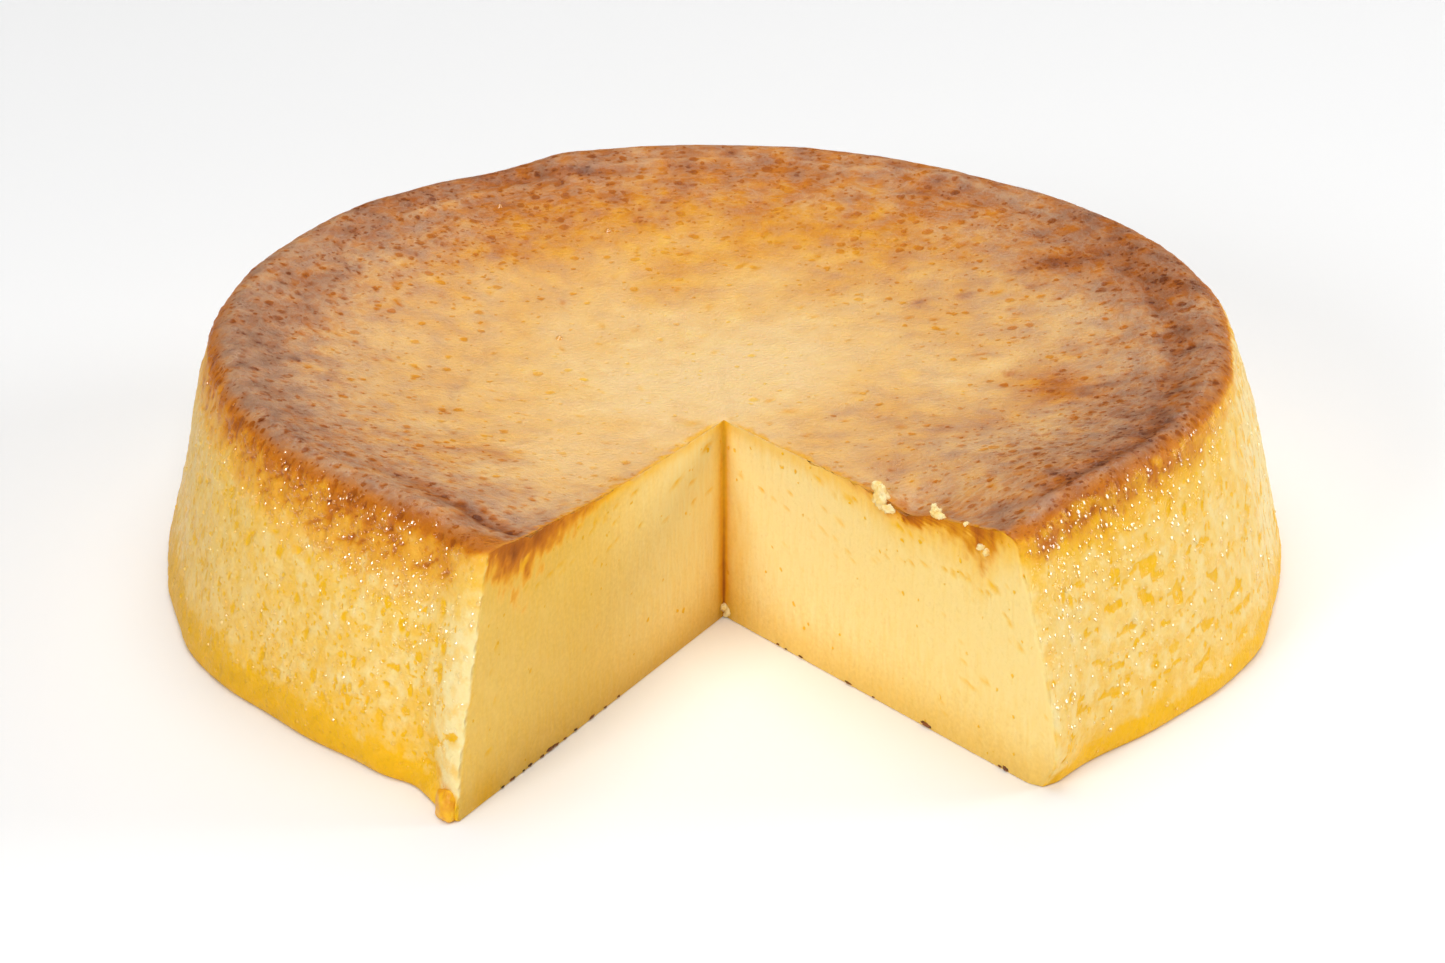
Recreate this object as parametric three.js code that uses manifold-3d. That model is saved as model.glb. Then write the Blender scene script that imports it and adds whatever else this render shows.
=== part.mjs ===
// Leche flan: a round baked custard turned out of its tin, with one wedge cut out.
//
// Millimetres, +Z up. The origin is the centre of the round base, on the surface that the flan
// stands on. The wedge opens towards -Y. An azimuth is the angle about Z from the -Y axis,
// positive towards +X, so the middle of the cut is near azimuth 0.

import * as THREE from 'three';
import { mergeVertices } from 'three/addons/utils/BufferGeometryUtils.js';
import Module from 'manifold-3d';

const DEGREE = Math.PI / 180;

// The round: a 9 inch tin's width at the foot, narrower at the rim.
const BASE_RADIUS = 112.4;
const WALL_LEAN = 9.0;         // how far the wall comes in from the foot to its top
const LEAN_POWER = 1.7;        // the lower half is nearly upright, the upper half leans in
const WALL_TOP = 46.5;         // where the wall turns over into the rim
const FOOT_TUCK = 0.9;         // how far the rounded foot draws in under the wall
const FOOT_HEIGHT = 2.4;

// The top: a rounded rim round a sunken middle.
const RIM_HEIGHT = 51.6;
const RIM_ROUND = 5.6;         // from the top of the wall in to the crest of the rim
const DISH_FLOOR = 42.8;       // height of the middle
const DISH_POWER = 2.7;        // the floor is flat, and climbs towards the rim
const BACK_SLOPE = -0.012;     // the flan is a little lower at the back

// The cut: the knife's two strokes meet a little in front of the centre.
const APEX = new THREE.Vector2(0.5, -25.4);
const LEFT_CUT = -30.1 * DEGREE;
const RIGHT_CUT = 39.3 * DEGREE;
const CUT_REACH = 160;         // the cutting tool runs well past the wall
const CUT_OVERSHOOT = 10;      // and above and below the flan

// The tips beside the cut have spread outwards, most at the foot. Flare is the power by which the
// spread fades up the wall, and tipLift raises the outer edge of the rim to a sharper corner.
const LEFT_TIP = {
  azimuth: -23.6 * DEGREE,
  topSpread: 6.4,
  footSpread: 10.6,
  flare: 2,
  topWidth: 5.6 * DEGREE,
  footWidth: 3.5 * DEGREE,
  footRound: 0,
  tipLift: 6,
};
const RIGHT_TIP = {
  azimuth: 31 * DEGREE,
  topSpread: 4.4,
  footSpread: 7.8,
  flare: 1,
  topWidth: 5.4 * DEGREE,
  footWidth: 4.6 * DEGREE,
  footRound: 4.2,
  tipLift: 3.2,
};
const TIPS = [LEFT_TIP, RIGHT_TIP];
const FOOT_ROUND_HEIGHT = 5;
const TIP_LIFT_POWER = 30;     // the lift is gone a few millimetres in from the edge

// The knife dragged the skin down along the right-hand cut.
const DRAG_DEPTH = 3.4;
const DRAG_MIDDLE = 56;        // distance from the apex, along the cut
const DRAG_LENGTH = 24;
const DRAG_WIDTH = 13;

// Uneven baking. Each swell of the rim has an azimuth, a rise and a half-width.
const RIM_SWELLS = [
  { azimuth: -106 * DEGREE, rise: 0.7, width: 9 * DEGREE },
  { azimuth: -130 * DEGREE, rise: 0.9, width: 17 * DEGREE },
  { azimuth: -152 * DEGREE, rise: -0.8, width: 5 * DEGREE },
  { azimuth: -160 * DEGREE, rise: 0.9, width: 4 * DEGREE },
  { azimuth: -174 * DEGREE, rise: 0.8, width: 9 * DEGREE },
  { azimuth: 122 * DEGREE, rise: 0.8, width: 15 * DEGREE },
  { azimuth: 64 * DEGREE, rise: 0.9, width: 14 * DEGREE },
  { azimuth: -23 * DEGREE, rise: -5, width: 9 * DEGREE },
  { azimuth: 31 * DEGREE, rise: -3.4, width: 9 * DEGREE },
];
const RIM_SWELL_POWER = 6;     // a swell of the rim fades towards the middle

// Each wave of the wall has a count round the flan, a depth, a phase, a lean with height, and the
// height over which it fades.
const WALL_WAVES = [
  { count: 1, depth: 0.5, phase: 0, lean: 0, fade: 90 },
  { count: 2, depth: 1.3, phase: -1.57, lean: 0, fade: 8 },
  { count: 11, depth: 0.65, phase: 1.66, lean: -0.02, fade: 60 },
  { count: 19, depth: 0.16, phase: 4.0, lean: -0.07, fade: 90 },
  { count: 31, depth: 0.12, phase: 1.3, lean: 0.16, fade: 90 },
];
const DISH_WAVES = [
  { across: 0.050, along: 0.021, depth: 0.35, phase: 0.4 },
  { across: -0.033, along: 0.071, depth: 0.28, phase: 2.2 },
  { across: 0.112, along: 0.063, depth: 0.16, phase: 5.1 },
];

// A torn lump of custard hangs on the foot of the left-hand tip.
const LUMP = { azimuth: -25 * DEGREE, radius: 120.6, height: 2.7 };
const LUMP_SIZE = new THREE.Vector3(2.7, 3.2, 4);
const LUMP_DETAIL = 2;
const LUMP_ROUGHNESS = 0.13;
const LUMP_WAVES = new THREE.Vector3(4.1, 5.3, 3.7);

// How finely the round is faceted.
const AROUND = 144;
const CROWDING = 0.36;         // how much narrower than the average the facets by the cut are
const WALL_ROWS = 9;
const RIM_ROWS = 5;
const DISH_ROWS = 13;
const FOOT_ROWS = 3;
const MERGE_TOLERANCE = 1e-4;

const bell = (x) => Math.exp(-x * x);

/** The smaller angle from one azimuth to another, signed. */
function turn(from, to) {
  return Math.atan2(Math.sin(to - from), Math.cos(to - from));
}

/** Radius of the even wall at a height. */
function evenRadius(z) {
  const climb = THREE.MathUtils.clamp(z / WALL_TOP, 0, 1);
  return BASE_RADIUS - WALL_LEAN * Math.pow(climb, LEAN_POWER);
}

/** The profile spun about Z: base, foot, wall, rim and dish, from the axis back to the axis. */
function profile() {
  const points = [new THREE.Vector2(0, 0)];

  for (let i = 0; i < FOOT_ROWS; i++) {
    const angle = (i / FOOT_ROWS) * (Math.PI / 2);
    const tuck = FOOT_TUCK * (1 - Math.sin(angle));
    const z = FOOT_HEIGHT * (1 - Math.cos(angle));
    points.push(new THREE.Vector2(evenRadius(z) - tuck, z));
  }
  for (let i = 0; i < WALL_ROWS; i++) {
    const z = THREE.MathUtils.lerp(FOOT_HEIGHT, WALL_TOP, i / WALL_ROWS);
    points.push(new THREE.Vector2(evenRadius(z), z));
  }
  const crest = evenRadius(WALL_TOP) - RIM_ROUND;
  for (let i = 0; i < RIM_ROWS; i++) {
    const angle = (i / RIM_ROWS) * (Math.PI / 2);
    const rise = (RIM_HEIGHT - WALL_TOP) * Math.sin(angle);
    points.push(new THREE.Vector2(crest + RIM_ROUND * Math.cos(angle), WALL_TOP + rise));
  }
  for (let i = 0; i <= DISH_ROWS; i++) {
    const out = 1 - i / DISH_ROWS;
    const climb = (RIM_HEIGHT - DISH_FLOOR) * Math.pow(out, DISH_POWER);
    points.push(new THREE.Vector2(crest * out, DISH_FLOOR + climb));
  }
  return points;
}

/** How near an azimuth is to a tip, from 1 at the tip to 0. Low is 1 at the foot, 0 at the top. */
function tipNearness(tip, azimuth, low) {
  const width = THREE.MathUtils.lerp(tip.topWidth, tip.footWidth, low);
  return bell(turn(tip.azimuth, azimuth) / width);
}

/** How far the real wall stands out from the even one. */
function wallSwell(azimuth, z) {
  let swell = 0;
  for (const wave of WALL_WAVES) {
    const round = Math.sin(wave.count * azimuth + wave.lean * z + wave.phase);
    swell += wave.depth * round * bell(z / wave.fade);
  }
  const climb = THREE.MathUtils.clamp(z / WALL_TOP, 0, 1);
  for (const tip of TIPS) {
    const low = Math.pow(1 - climb, tip.flare);
    const spread = THREE.MathUtils.lerp(tip.topSpread, tip.footSpread, low);
    const nearness = tipNearness(tip, azimuth, low);
    swell += nearness * (spread - tip.footRound * bell(z / FOOT_ROUND_HEIGHT));
  }
  return swell;
}

/** How far the real top lies above the even one at a place. */
function topSwell(x, y, outward) {
  const azimuth = Math.atan2(x, -y);
  let swell = BACK_SLOPE * y;
  for (const { azimuth: middle, rise, width } of RIM_SWELLS) {
    swell += rise * bell(turn(middle, azimuth) / width) * Math.pow(outward, RIM_SWELL_POWER);
  }
  for (const tip of TIPS) {
    swell += tip.tipLift * tipNearness(tip, azimuth, 0) * Math.pow(outward, TIP_LIFT_POWER);
  }
  for (const wave of DISH_WAVES) {
    swell += wave.depth * Math.sin(wave.across * x + wave.along * y + wave.phase);
  }
  const along = (x - APEX.x) * Math.sin(RIGHT_CUT) - (y - APEX.y) * Math.cos(RIGHT_CUT);
  const aside = (x - APEX.x) * Math.cos(RIGHT_CUT) + (y - APEX.y) * Math.sin(RIGHT_CUT);
  const drag = bell(aside / DRAG_WIDTH) * bell((along - DRAG_MIDDLE) / DRAG_LENGTH);
  return swell - DRAG_DEPTH * drag;
}

/** The whole round before it is cut. */
function uncutRound() {
  const geometry = new THREE.LatheGeometry(profile(), AROUND);
  geometry.rotateX(Math.PI / 2);
  const position = geometry.attributes.position;
  for (let i = 0; i < position.count; i++) {
    const x = position.getX(i);
    const y = position.getY(i);
    const z = position.getZ(i);
    const even = Math.atan2(x, -y);
    const azimuth = even - CROWDING * Math.sin(even);
    const radius = Math.hypot(x, y);
    const reach = radius * (1 + wallSwell(azimuth, z) / evenRadius(z));
    const [east, south] = [Math.sin(azimuth), Math.cos(azimuth)];
    const outward = Math.min(radius / evenRadius(z), 1);
    const raise = topSwell(radius * east, -radius * south, outward) * Math.pow(z / RIM_HEIGHT, 2);
    position.setXYZ(i, reach * east, -reach * south, z + raise);
  }
  return geometry;
}

/** The wedge of space that the knife took out. */
function wedge() {
  const left = new THREE.Vector2(Math.sin(LEFT_CUT), -Math.cos(LEFT_CUT));
  const right = new THREE.Vector2(Math.sin(RIGHT_CUT), -Math.cos(RIGHT_CUT));
  const outline = new THREE.Shape([
    APEX,
    left.multiplyScalar(CUT_REACH).add(APEX),
    right.multiplyScalar(CUT_REACH).add(APEX),
  ]);
  const depth = RIM_HEIGHT + 2 * CUT_OVERSHOOT;
  const geometry = new THREE.ExtrudeGeometry(outline, { depth, bevelEnabled: false });
  return geometry.translate(0, 0, -CUT_OVERSHOOT);
}

/** The torn lump: a small uneven ball, pressed flat where it meets the ground. */
function lump() {
  const geometry = new THREE.IcosahedronGeometry(1, LUMP_DETAIL);
  const centre = new THREE.Vector3(
    LUMP.radius * Math.sin(LUMP.azimuth),
    -LUMP.radius * Math.cos(LUMP.azimuth),
    LUMP.height,
  );
  const position = geometry.attributes.position;
  const point = new THREE.Vector3();
  for (let i = 0; i < position.count; i++) {
    point.fromBufferAttribute(position, i);
    const waves = point.clone().multiply(LUMP_WAVES);
    const bump = Math.sin(waves.x) + Math.sin(waves.y) * Math.cos(waves.z);
    point.multiplyScalar(1 + LUMP_ROUGHNESS * bump).multiply(LUMP_SIZE).add(centre);
    point.z = Math.max(point.z, 0);
    position.setXYZ(i, point.x, point.y, point.z);
  }
  return geometry;
}

const wasm = await Module();
wasm.setup();

/** A manifold solid from a closed three.js geometry. */
function solid(geometry) {
  const bare = geometry.clone();
  bare.deleteAttribute('normal');
  bare.deleteAttribute('uv');
  const welded = mergeVertices(bare, MERGE_TOLERANCE);
  const index = welded.index.array;
  const corners = [];
  for (let i = 0; i < index.length; i += 3) {
    const [a, b, c] = [index[i], index[i + 1], index[i + 2]];
    if (a !== b && b !== c && c !== a) corners.push(a, b, c);
  }
  return new wasm.Manifold(new wasm.Mesh({
    numProp: 3,
    vertProperties: new Float32Array(welded.attributes.position.array),
    triVerts: new Uint32Array(corners),
  }));
}

/** A three.js geometry from a manifold solid. */
function geometryOf(body) {
  const mesh = body.getMesh();
  const geometry = new THREE.BufferGeometry();
  geometry.setAttribute('position', new THREE.BufferAttribute(mesh.vertProperties, 3));
  geometry.setIndex(new THREE.BufferAttribute(mesh.triVerts, 1));
  geometry.computeVertexNormals();
  return geometry;
}

const custard = new THREE.MeshStandardMaterial({
  color: '#f0c46c',
  roughness: 0.35,
  metalness: 0,
});

const body = solid(uncutRound()).subtract(solid(wedge())).add(solid(lump()));
const flan = new THREE.Mesh(geometryOf(body), custard);
flan.name = 'flan';

const group = new THREE.Group();
group.name = 'leche_flan';
group.add(flan);

export default group;
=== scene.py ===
"""Leche flan: a round baked custard with a browned skin and one wedge cut out, dressed round its solid.

Shapes are worked out in millimetres and go into the meshes in metres. The frame is the solid's: +Z up,
the origin in the middle of the round base, the cut opening towards -Y. An azimuth is the angle about Z
from the -Y axis, positive towards +X.
"""
import logging
import math
from dataclasses import dataclass
from enum import Enum

import bpy
import numpy as np
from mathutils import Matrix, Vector


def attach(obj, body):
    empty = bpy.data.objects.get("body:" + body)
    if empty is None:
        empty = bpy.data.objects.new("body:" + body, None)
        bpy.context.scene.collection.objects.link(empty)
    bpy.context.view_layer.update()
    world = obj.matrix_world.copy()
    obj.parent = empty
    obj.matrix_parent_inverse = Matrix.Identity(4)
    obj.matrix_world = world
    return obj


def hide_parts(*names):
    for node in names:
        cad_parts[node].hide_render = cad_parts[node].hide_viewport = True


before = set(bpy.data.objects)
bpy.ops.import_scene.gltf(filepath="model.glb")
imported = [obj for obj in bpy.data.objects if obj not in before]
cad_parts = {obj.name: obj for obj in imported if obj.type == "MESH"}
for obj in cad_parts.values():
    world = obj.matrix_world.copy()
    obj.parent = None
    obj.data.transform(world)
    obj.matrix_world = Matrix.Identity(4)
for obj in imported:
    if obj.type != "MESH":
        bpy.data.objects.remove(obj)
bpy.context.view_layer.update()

LOG = logging.getLogger("leche_flan")
MM = 0.001
BODY = "root"
Array = np.ndarray
Table = tuple[tuple[float, ...], ...]
Socket = bpy.types.NodeSocket
SMOOTH = {"interpolation_type": "SMOOTHSTEP"}
CLAMPED = {"use_clamp": True}
COLOURS = {"data_type": "RGBA"}


class Side(Enum):
    """The two faces that the knife left."""

    LEFT = "left"
    RIGHT = "right"


class Amount(Enum):
    """What is stored at every point of the custard for its finish, each from 0 to 1."""

    BROWNED = "browned"      # how far the heat has browned it; where the cuts meet, painted shade
    FILM_AND_SHEEN = "film_and_sheen"          # the pale set film that veils the browned skin, with a painted sheen of white reflection over it
    SOAKED = "soaked"        # syrup in the foot and in weak places: deep golden; on the cut faces also painted shade
    OPENED = "opened"        # holes and tears: the skin is gone where this passes about a half
    SCORCHED = "scorched"    # the darkest creases; at the foot of the left-hand cut face, painted shade
    PITTED = "pitted"        # share of the places for a bubble pit that hold one
    SPECKED = "specked"      # the same for fine pits
    BRUSHED = "brushed"      # how far streaks along the rim show
    WET = "wet"              # syrup lying on the surface
    PALE = "pale"            # dry, creamy custard; beside the left-hand cut and on the cut faces also painted light
    CUT = "cut"              # sliced, not baked, surface
    PAINTED_SHADE = "painted_shade"          # painted shade: a duller, deeper gold where less light falls


def bell(x: Array) -> Array:
    """A bell curve, 1 at 0: e to the minus x squared."""
    return np.exp(-np.square(x))


def turn(start: Array, end: Array) -> Array:
    """The smaller signed angle from one azimuth to another."""
    return np.arctan2(np.sin(end - start), np.cos(end - start))


def ease(low: float | Array, high: float | Array, x: Array) -> Array:
    """0 up to low, 1 from high on, and a smooth step between them: 3 t squared minus 2 t cubed."""
    t = np.clip((x - low) / (high - low), 0, 1)
    return t * t * (3 - 2 * t)


def falling(low: float | Array, high: float | Array, x: Array) -> Array:
    """1 up to low, 0 from high on, and a smooth step between them."""
    return 1 - ease(low, high, x)


def mixed(a: Array, b: Array, t: float | Array) -> Array:
    """The mean of a and b with weight t on b."""
    return a + (b - a) * t


def plateau(x: Array, rise: float, up: float, fall: float, down: float) -> Array:
    """0 up to rise, 1 from up to fall, and 0 again from down on."""
    return ease(rise, up, x) * falling(fall, down, x)


def around(table: Table, degrees: Array) -> Array:
    """Values of a table of azimuths and values, with straight lines between them and round the back."""
    return np.interp(degrees, *np.array(table).T, period=360)


def unit(vectors: Array) -> Array:
    """Vectors made one long, each over its own length."""
    return vectors / np.linalg.norm(vectors, axis=-1, keepdims=True)


def linear(shade: str) -> tuple[float, float, float, float]:
    """The linear colour of an sRGB hex value, by the standard's own curve."""
    raw = np.array([int(shade[i:i + 2], 16) for i in (1, 3, 5)]) / 255
    low, high = raw / 12.92, ((raw + 0.055) / 1.055) ** 2.4
    return (*np.where(raw <= 0.04045, low, high).tolist(), 1)


class Ripple:
    """Smooth seeded noise in space: random slopes on a lattice, blended between its corners."""

    LATTICE = 40

    def __init__(self, seed: int) -> None:
        """Draws the slopes.

        Args:
            seed: the seed of the draw.
        """
        self.slopes = unit(np.random.default_rng(seed).normal(size=(self.LATTICE,) * 3 + (3,)))

    def at(self, points: Array, size: float | tuple[float, float, float]) -> Array:
        """The noise, about -1 to 1: each corner's slope times the way from it, weighted by nearness.

        Args:
            points: places, n by 3, in millimetres.
            size: distance between lattice corners, one for all axes or one each.

        Returns:
            One value for each place.
        """
        scaled = points / np.asarray(size, float)
        base = np.floor(scaled).astype(int)
        part = scaled - base
        near = part ** 3 * (part * (part * 6 - 15) + 10)
        total = np.zeros(len(points))
        for corner in np.ndindex(2, 2, 2):
            step = np.array(corner)
            slope = self.slopes[tuple(((base + step) % self.LATTICE).T)]
            weight = np.prod(np.where(step, near, 1 - near), axis=1)
            total += weight * np.sum(slope * (part - step), axis=1)
        return total * 1.7

    def layered(self, points: Array, size: float, layers: int = 3) -> Array:
        """Coarse noise with finer noise on it, each layer half as large and half as strong."""
        return sum(self.at(points + 31.7 * k, size / 2 ** k) / 2 ** k for k in range(layers))


@dataclass(frozen=True)
class Spots:
    """Oval spots of random size, at most one to a cell of a jittered grid."""

    seed: int
    cell: float
    small: float
    large: float
    tall: float = 1
    WRAP = 251

    def depth(self, u: Array, v: Array, filled: float | Array) -> Array:
        """Depth of the spots, 1 in a spot's middle: (1 - q squared) squared, q the way out to its edge.

        Args:
            u: places along the surface.
            v: places across it.
            filled: share of the cells that hold a spot.

        Returns:
            The deepest spot's depth at each place.
        """
        draws = np.random.default_rng(self.seed).random((self.WRAP, self.WRAP, 4))
        column = np.floor(u / self.cell).astype(int)
        row = np.floor(v / (self.cell * self.tall)).astype(int)
        deepest = np.zeros(np.shape(u))
        for i in (-1, 0, 1):
            for j in (-1, 0, 1):
                draw = draws[(column + i) % self.WRAP, (row + j) % self.WRAP]
                radius = mixed(self.small, self.large, draw[..., 2] ** 2)
                du = (u / self.cell - column - i - 0.15 - 0.7 * draw[..., 0]) * self.cell
                dv = (v / (self.cell * self.tall) - row - j - 0.15 - 0.7 * draw[..., 1]) * self.cell
                bowl = np.clip(1 - (du * du + dv * dv) / radius ** 2, 0, 1) ** 2
                deepest = np.maximum(deepest, np.where(draw[..., 3] < filled, bowl, 0))
        return deepest


@dataclass(frozen=True)
class Mark:
    """One oval feature of a surface: where it is, its half-sizes, its lean in degrees and strength."""

    u: float
    v: float
    wide: float
    tall: float
    lean: float = 0
    amount: float = 1

    def at(self, u: Array, v: Array, power: float = 2) -> Array:
        """Its strength at each place: e to the minus (way out over half-size) to the power."""
        c, s = math.cos(math.radians(self.lean)), math.sin(math.radians(self.lean))
        du, dv = u - self.u, v - self.v
        out = np.hypot((du * c + dv * s) / self.wide, (dv * c - du * s) / self.tall)
        return self.amount * np.exp(-out ** power)


@dataclass(frozen=True)
class Stroke:
    """A soft line through a few places, fading at both ends."""

    places: Table
    width: float
    amount: float = 1

    def at(self, x: Array, y: Array) -> Array:
        """Its strength at each place: a bell of the distance to the nearest stretch of the line.

        Args:
            x: places across.
            y: places along.

        Returns:
            The strength, one for each place.
        """
        nearest = np.full(np.shape(x), 1e9)
        for (ax, ay), (bx, by) in zip(self.places, self.places[1:]):
            length = (bx - ax) ** 2 + (by - ay) ** 2
            t = np.clip(((x - ax) * (bx - ax) + (y - ay) * (by - ay)) / length, 0, 1)
            nearest = np.minimum(nearest, np.hypot(x - ax - t * (bx - ax), y - ay - t * (by - ay)))
        return self.amount * bell(nearest / self.width)


def marks(*rows: tuple[float, ...]) -> tuple[Mark, ...]:
    """One mark from each row."""
    return tuple(Mark(*row) for row in rows)


def strokes(*rows: tuple) -> tuple[Stroke, ...]:
    """One stroke from each row."""
    return tuple(Stroke(*row) for row in rows)


@dataclass(frozen=True)
class Tip:
    """One of the two tips beside the cut, which have spread outwards, most at the foot."""

    azimuth: float
    top_spread: float
    foot_spread: float
    flare: float
    top_width: float
    foot_width: float
    foot_round: float
    lift: float

    def nearness(self, azimuth: Array, low: float | Array) -> Array:
        """1 at the tip, falling as a bell of the angle to it; low is 1 at the foot and 0 at the top."""
        width = np.radians(mixed(self.top_width, self.foot_width, low))
        return bell(turn(math.radians(self.azimuth), azimuth) / width)


@dataclass(frozen=True)
class FlanForm:
    """The solid's own form, from the same sizes as its source."""

    base_radius: float = 112.4
    wall_lean: float = 9
    lean_power: float = 1.7
    wall_top: float = 46.5
    foot_tuck: float = 0.9
    foot_height: float = 2.4
    rim_height: float = 51.6
    rim_round: float = 5.6
    dish_floor: float = 42.8
    dish_power: float = 2.7
    back_slope: float = -0.012
    apex: tuple[float, float] = (0.5, -25.4)
    left_cut: float = math.radians(-30.1)
    right_cut: float = math.radians(39.3)
    tips: tuple[Tip, Tip] = (
        Tip(-23.6, 6.4, 10.6, 2, 5.6, 3.5, 0, 6),
        Tip(31, 4.4, 7.8, 1, 5.4, 4.6, 4.2, 3.2),
    )
    foot_round_height: float = 5
    tip_lift_power: float = 30
    drag_depth: float = 3.4
    drag_middle: float = 56
    drag_length: float = 24
    drag_width: float = 13
    # Azimuth of a swell of the rim, how far it rises, and its width in degrees.
    rim_swells: Table = (
        (-106, 0.7, 9), (-130, 0.9, 17), (-152, -0.8, 5), (-160, 0.9, 4), (-174, 0.8, 9), (122, 0.8, 15),
        (64, 0.9, 14), (-23, -5, 9), (31, -3.4, 9),
    )
    rim_swell_power: float = 6
    # Waves round the wall: how many, depth, phase, lean, and the height over which they fade.
    wall_waves: Table = (
        (1, 0.5, 0, 0, 90), (2, 1.3, -1.57, 0, 8), (11, 0.65, 1.66, -0.02, 60), (19, 0.16, 4, -0.07, 90),
        (31, 0.12, 1.3, 0.16, 90),
    )
    # Waves of the dish: turn for each millimetre across and along, depth, phase.
    dish_waves: Table = (
        (0.05, 0.021, 0.35, 0.4), (-0.033, 0.071, 0.28, 2.2), (0.112, 0.063, 0.16, 5.1),
    )

    @property
    def crest(self) -> float:
        """Radius of the rim's highest line on the even round."""
        return float(self.even_radius(np.array(self.wall_top))) - self.rim_round

    def direction(self, side: Side) -> Array:
        """The level direction of a cut, from the apex outwards."""
        angle = self.left_cut if side is Side.LEFT else self.right_cut
        return np.array([math.sin(angle), -math.cos(angle)])

    def outward(self, side: Side) -> Array:
        """The level direction out of a cut face, a quarter turn from its own."""
        dx, dy = self.direction(side)
        return np.array([dy, -dx]) if side is Side.RIGHT else np.array([-dy, dx])

    def even_radius(self, z: Array) -> Array:
        """Radius of the even wall: the base's, less the lean times (height share to a power)."""
        return self.base_radius - self.wall_lean * np.clip(z / self.wall_top, 0, 1) ** self.lean_power

    def wall_swell(self, azimuth: Array, z: Array) -> Array:
        """How far the wall stands out: waves round it that fade upwards, and the two spread tips."""
        swell = sum(
            depth * np.sin(count * azimuth + lean * z + phase) * bell(z / fade)
            for count, depth, phase, lean, fade in self.wall_waves
        )
        climb = np.clip(z / self.wall_top, 0, 1)
        for tip in self.tips:
            low = (1 - climb) ** tip.flare
            spread = mixed(tip.top_spread, tip.foot_spread, low)
            spread = spread - tip.foot_round * bell(z / self.foot_round_height)
            swell = swell + tip.nearness(azimuth, low) * spread
        return swell

    def top_swell(self, x: Array, y: Array, outward: Array) -> Array:
        """How far the top lies above the even one: slope, swells of the rim, lifted tips, waves, drag."""
        azimuth = np.arctan2(x, -y)
        swell = self.back_slope * y
        for middle, rise, width in self.rim_swells:
            near = bell(turn(math.radians(middle), azimuth) / math.radians(width))
            swell = swell + rise * near * outward ** self.rim_swell_power
        for tip in self.tips:
            swell = swell + tip.lift * tip.nearness(azimuth, 0) * outward ** self.tip_lift_power
        for across, along, depth, phase in self.dish_waves:
            swell = swell + depth * np.sin(across * x + along * y + phase)
        run, aside = self.beside_cut(x, y, Side.RIGHT)
        drag = bell(aside / self.drag_width) * bell((run - self.drag_middle) / self.drag_length)
        return swell - self.drag_depth * drag

    def beside_cut(self, x: Array, y: Array, side: Side) -> tuple[Array, Array]:
        """Distances from the apex along a cut, and from the cut into the custard or out of it."""
        dx, dy = self.direction(side)
        px, py = x - self.apex[0], y - self.apex[1]
        return px * dx + py * dy, -px * dy + py * dx

    def place(self, azimuth: Array, radius: Array, z: Array) -> Array:
        """A point of the even profile carried to the real round: stretched outwards, then raised.

        Args:
            azimuth: angle about Z.
            radius: distance from Z on the even profile.
            z: height on the even profile.

        Returns:
            Places, n by 3.
        """
        reach = radius * (1 + self.wall_swell(azimuth, z) / self.even_radius(z))
        east, south = np.sin(azimuth), np.cos(azimuth)
        outward = np.minimum(radius / self.even_radius(z), 1)
        raised = self.top_swell(radius * east, -radius * south, outward) * (z / self.rim_height) ** 2
        return np.stack([reach * east, -reach * south, z + raised], axis=-1)

    def top_height(self, x: Array, y: Array) -> Array:
        """Height of the sunken top over a place, by undoing the outward stretch a few times.

        Args:
            x: places across.
            y: places along.

        Returns:
            The heights.
        """
        azimuth, far = np.arctan2(x, -y), np.hypot(x, y)
        radius = far
        for _ in range(4):
            share = np.clip(radius / self.crest, 0, 1) ** self.dish_power
            z = mixed(self.dish_floor, self.rim_height, share)
            radius = far / (1 + self.wall_swell(azimuth, z) / self.even_radius(z))
        outward = np.minimum(radius / self.even_radius(z), 1)
        raised = self.top_swell(radius * np.sin(azimuth), -radius * np.cos(azimuth), outward)
        return z + raised * (z / self.rim_height) ** 2

    def cut_azimuth(self, radius: float, z: float, side: Side) -> float:
        """Azimuth at which a ring of the even profile meets a cut, by fixed-point steps.

        Args:
            radius: the ring's radius on the even profile.
            z: its height.
            side: which cut.

        Returns:
            The azimuth, in radians.
        """
        d, apex = self.direction(side), np.array(self.apex)
        azimuth = math.atan2(d[0], -d[1])
        for _ in range(12):
            x, y, _z = self.place(np.array(azimuth), np.array(radius), np.array(z))
            reach, ahead = math.hypot(x, y), float(apex @ d)
            run = -ahead + math.sqrt(ahead ** 2 - float(apex @ apex) + reach ** 2)
            met = apex + run * d
            azimuth = math.atan2(met[0], -met[1])
        return azimuth


Amounts = dict[Amount, Array]


def blank(count: int) -> Amounts:
    """All amounts at 0."""
    return {amount: np.zeros(count) for amount in Amount}


def joined(*parts: Amounts) -> Amounts:
    """The amounts of several parts, one after another."""
    return {amount: np.concatenate([part[amount] for part in parts]) for amount in Amount}


@dataclass(frozen=True)
class WallPlaces:
    """Places on the wall, with what the parts of its finish share; a share runs from 0 to 1."""

    points: Array
    z: Array
    degrees: Array
    u: Array                # millimetres round the wall
    coarse: Ripple
    fine: Ripple
    warp: Array             # how far soft borders wander, in millimetres
    ragged: Array           # broad noise that frays the borders of bands
    left: Array             # share of the left-hand side
    right: Array            # share of the right-hand side
    beside_left: Array      # share of the smooth strip beside the left-hand cut
    beside_right: Array     # the same at the right-hand cut
    reach: Array            # how far browning runs down the wall, in millimetres
    bubbled: Array          # share of the bubbled zone under the rim
    foot: Array             # share of the soaked band at the foot
    low: Array              # share of the yellow that fades upwards from that band


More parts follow.
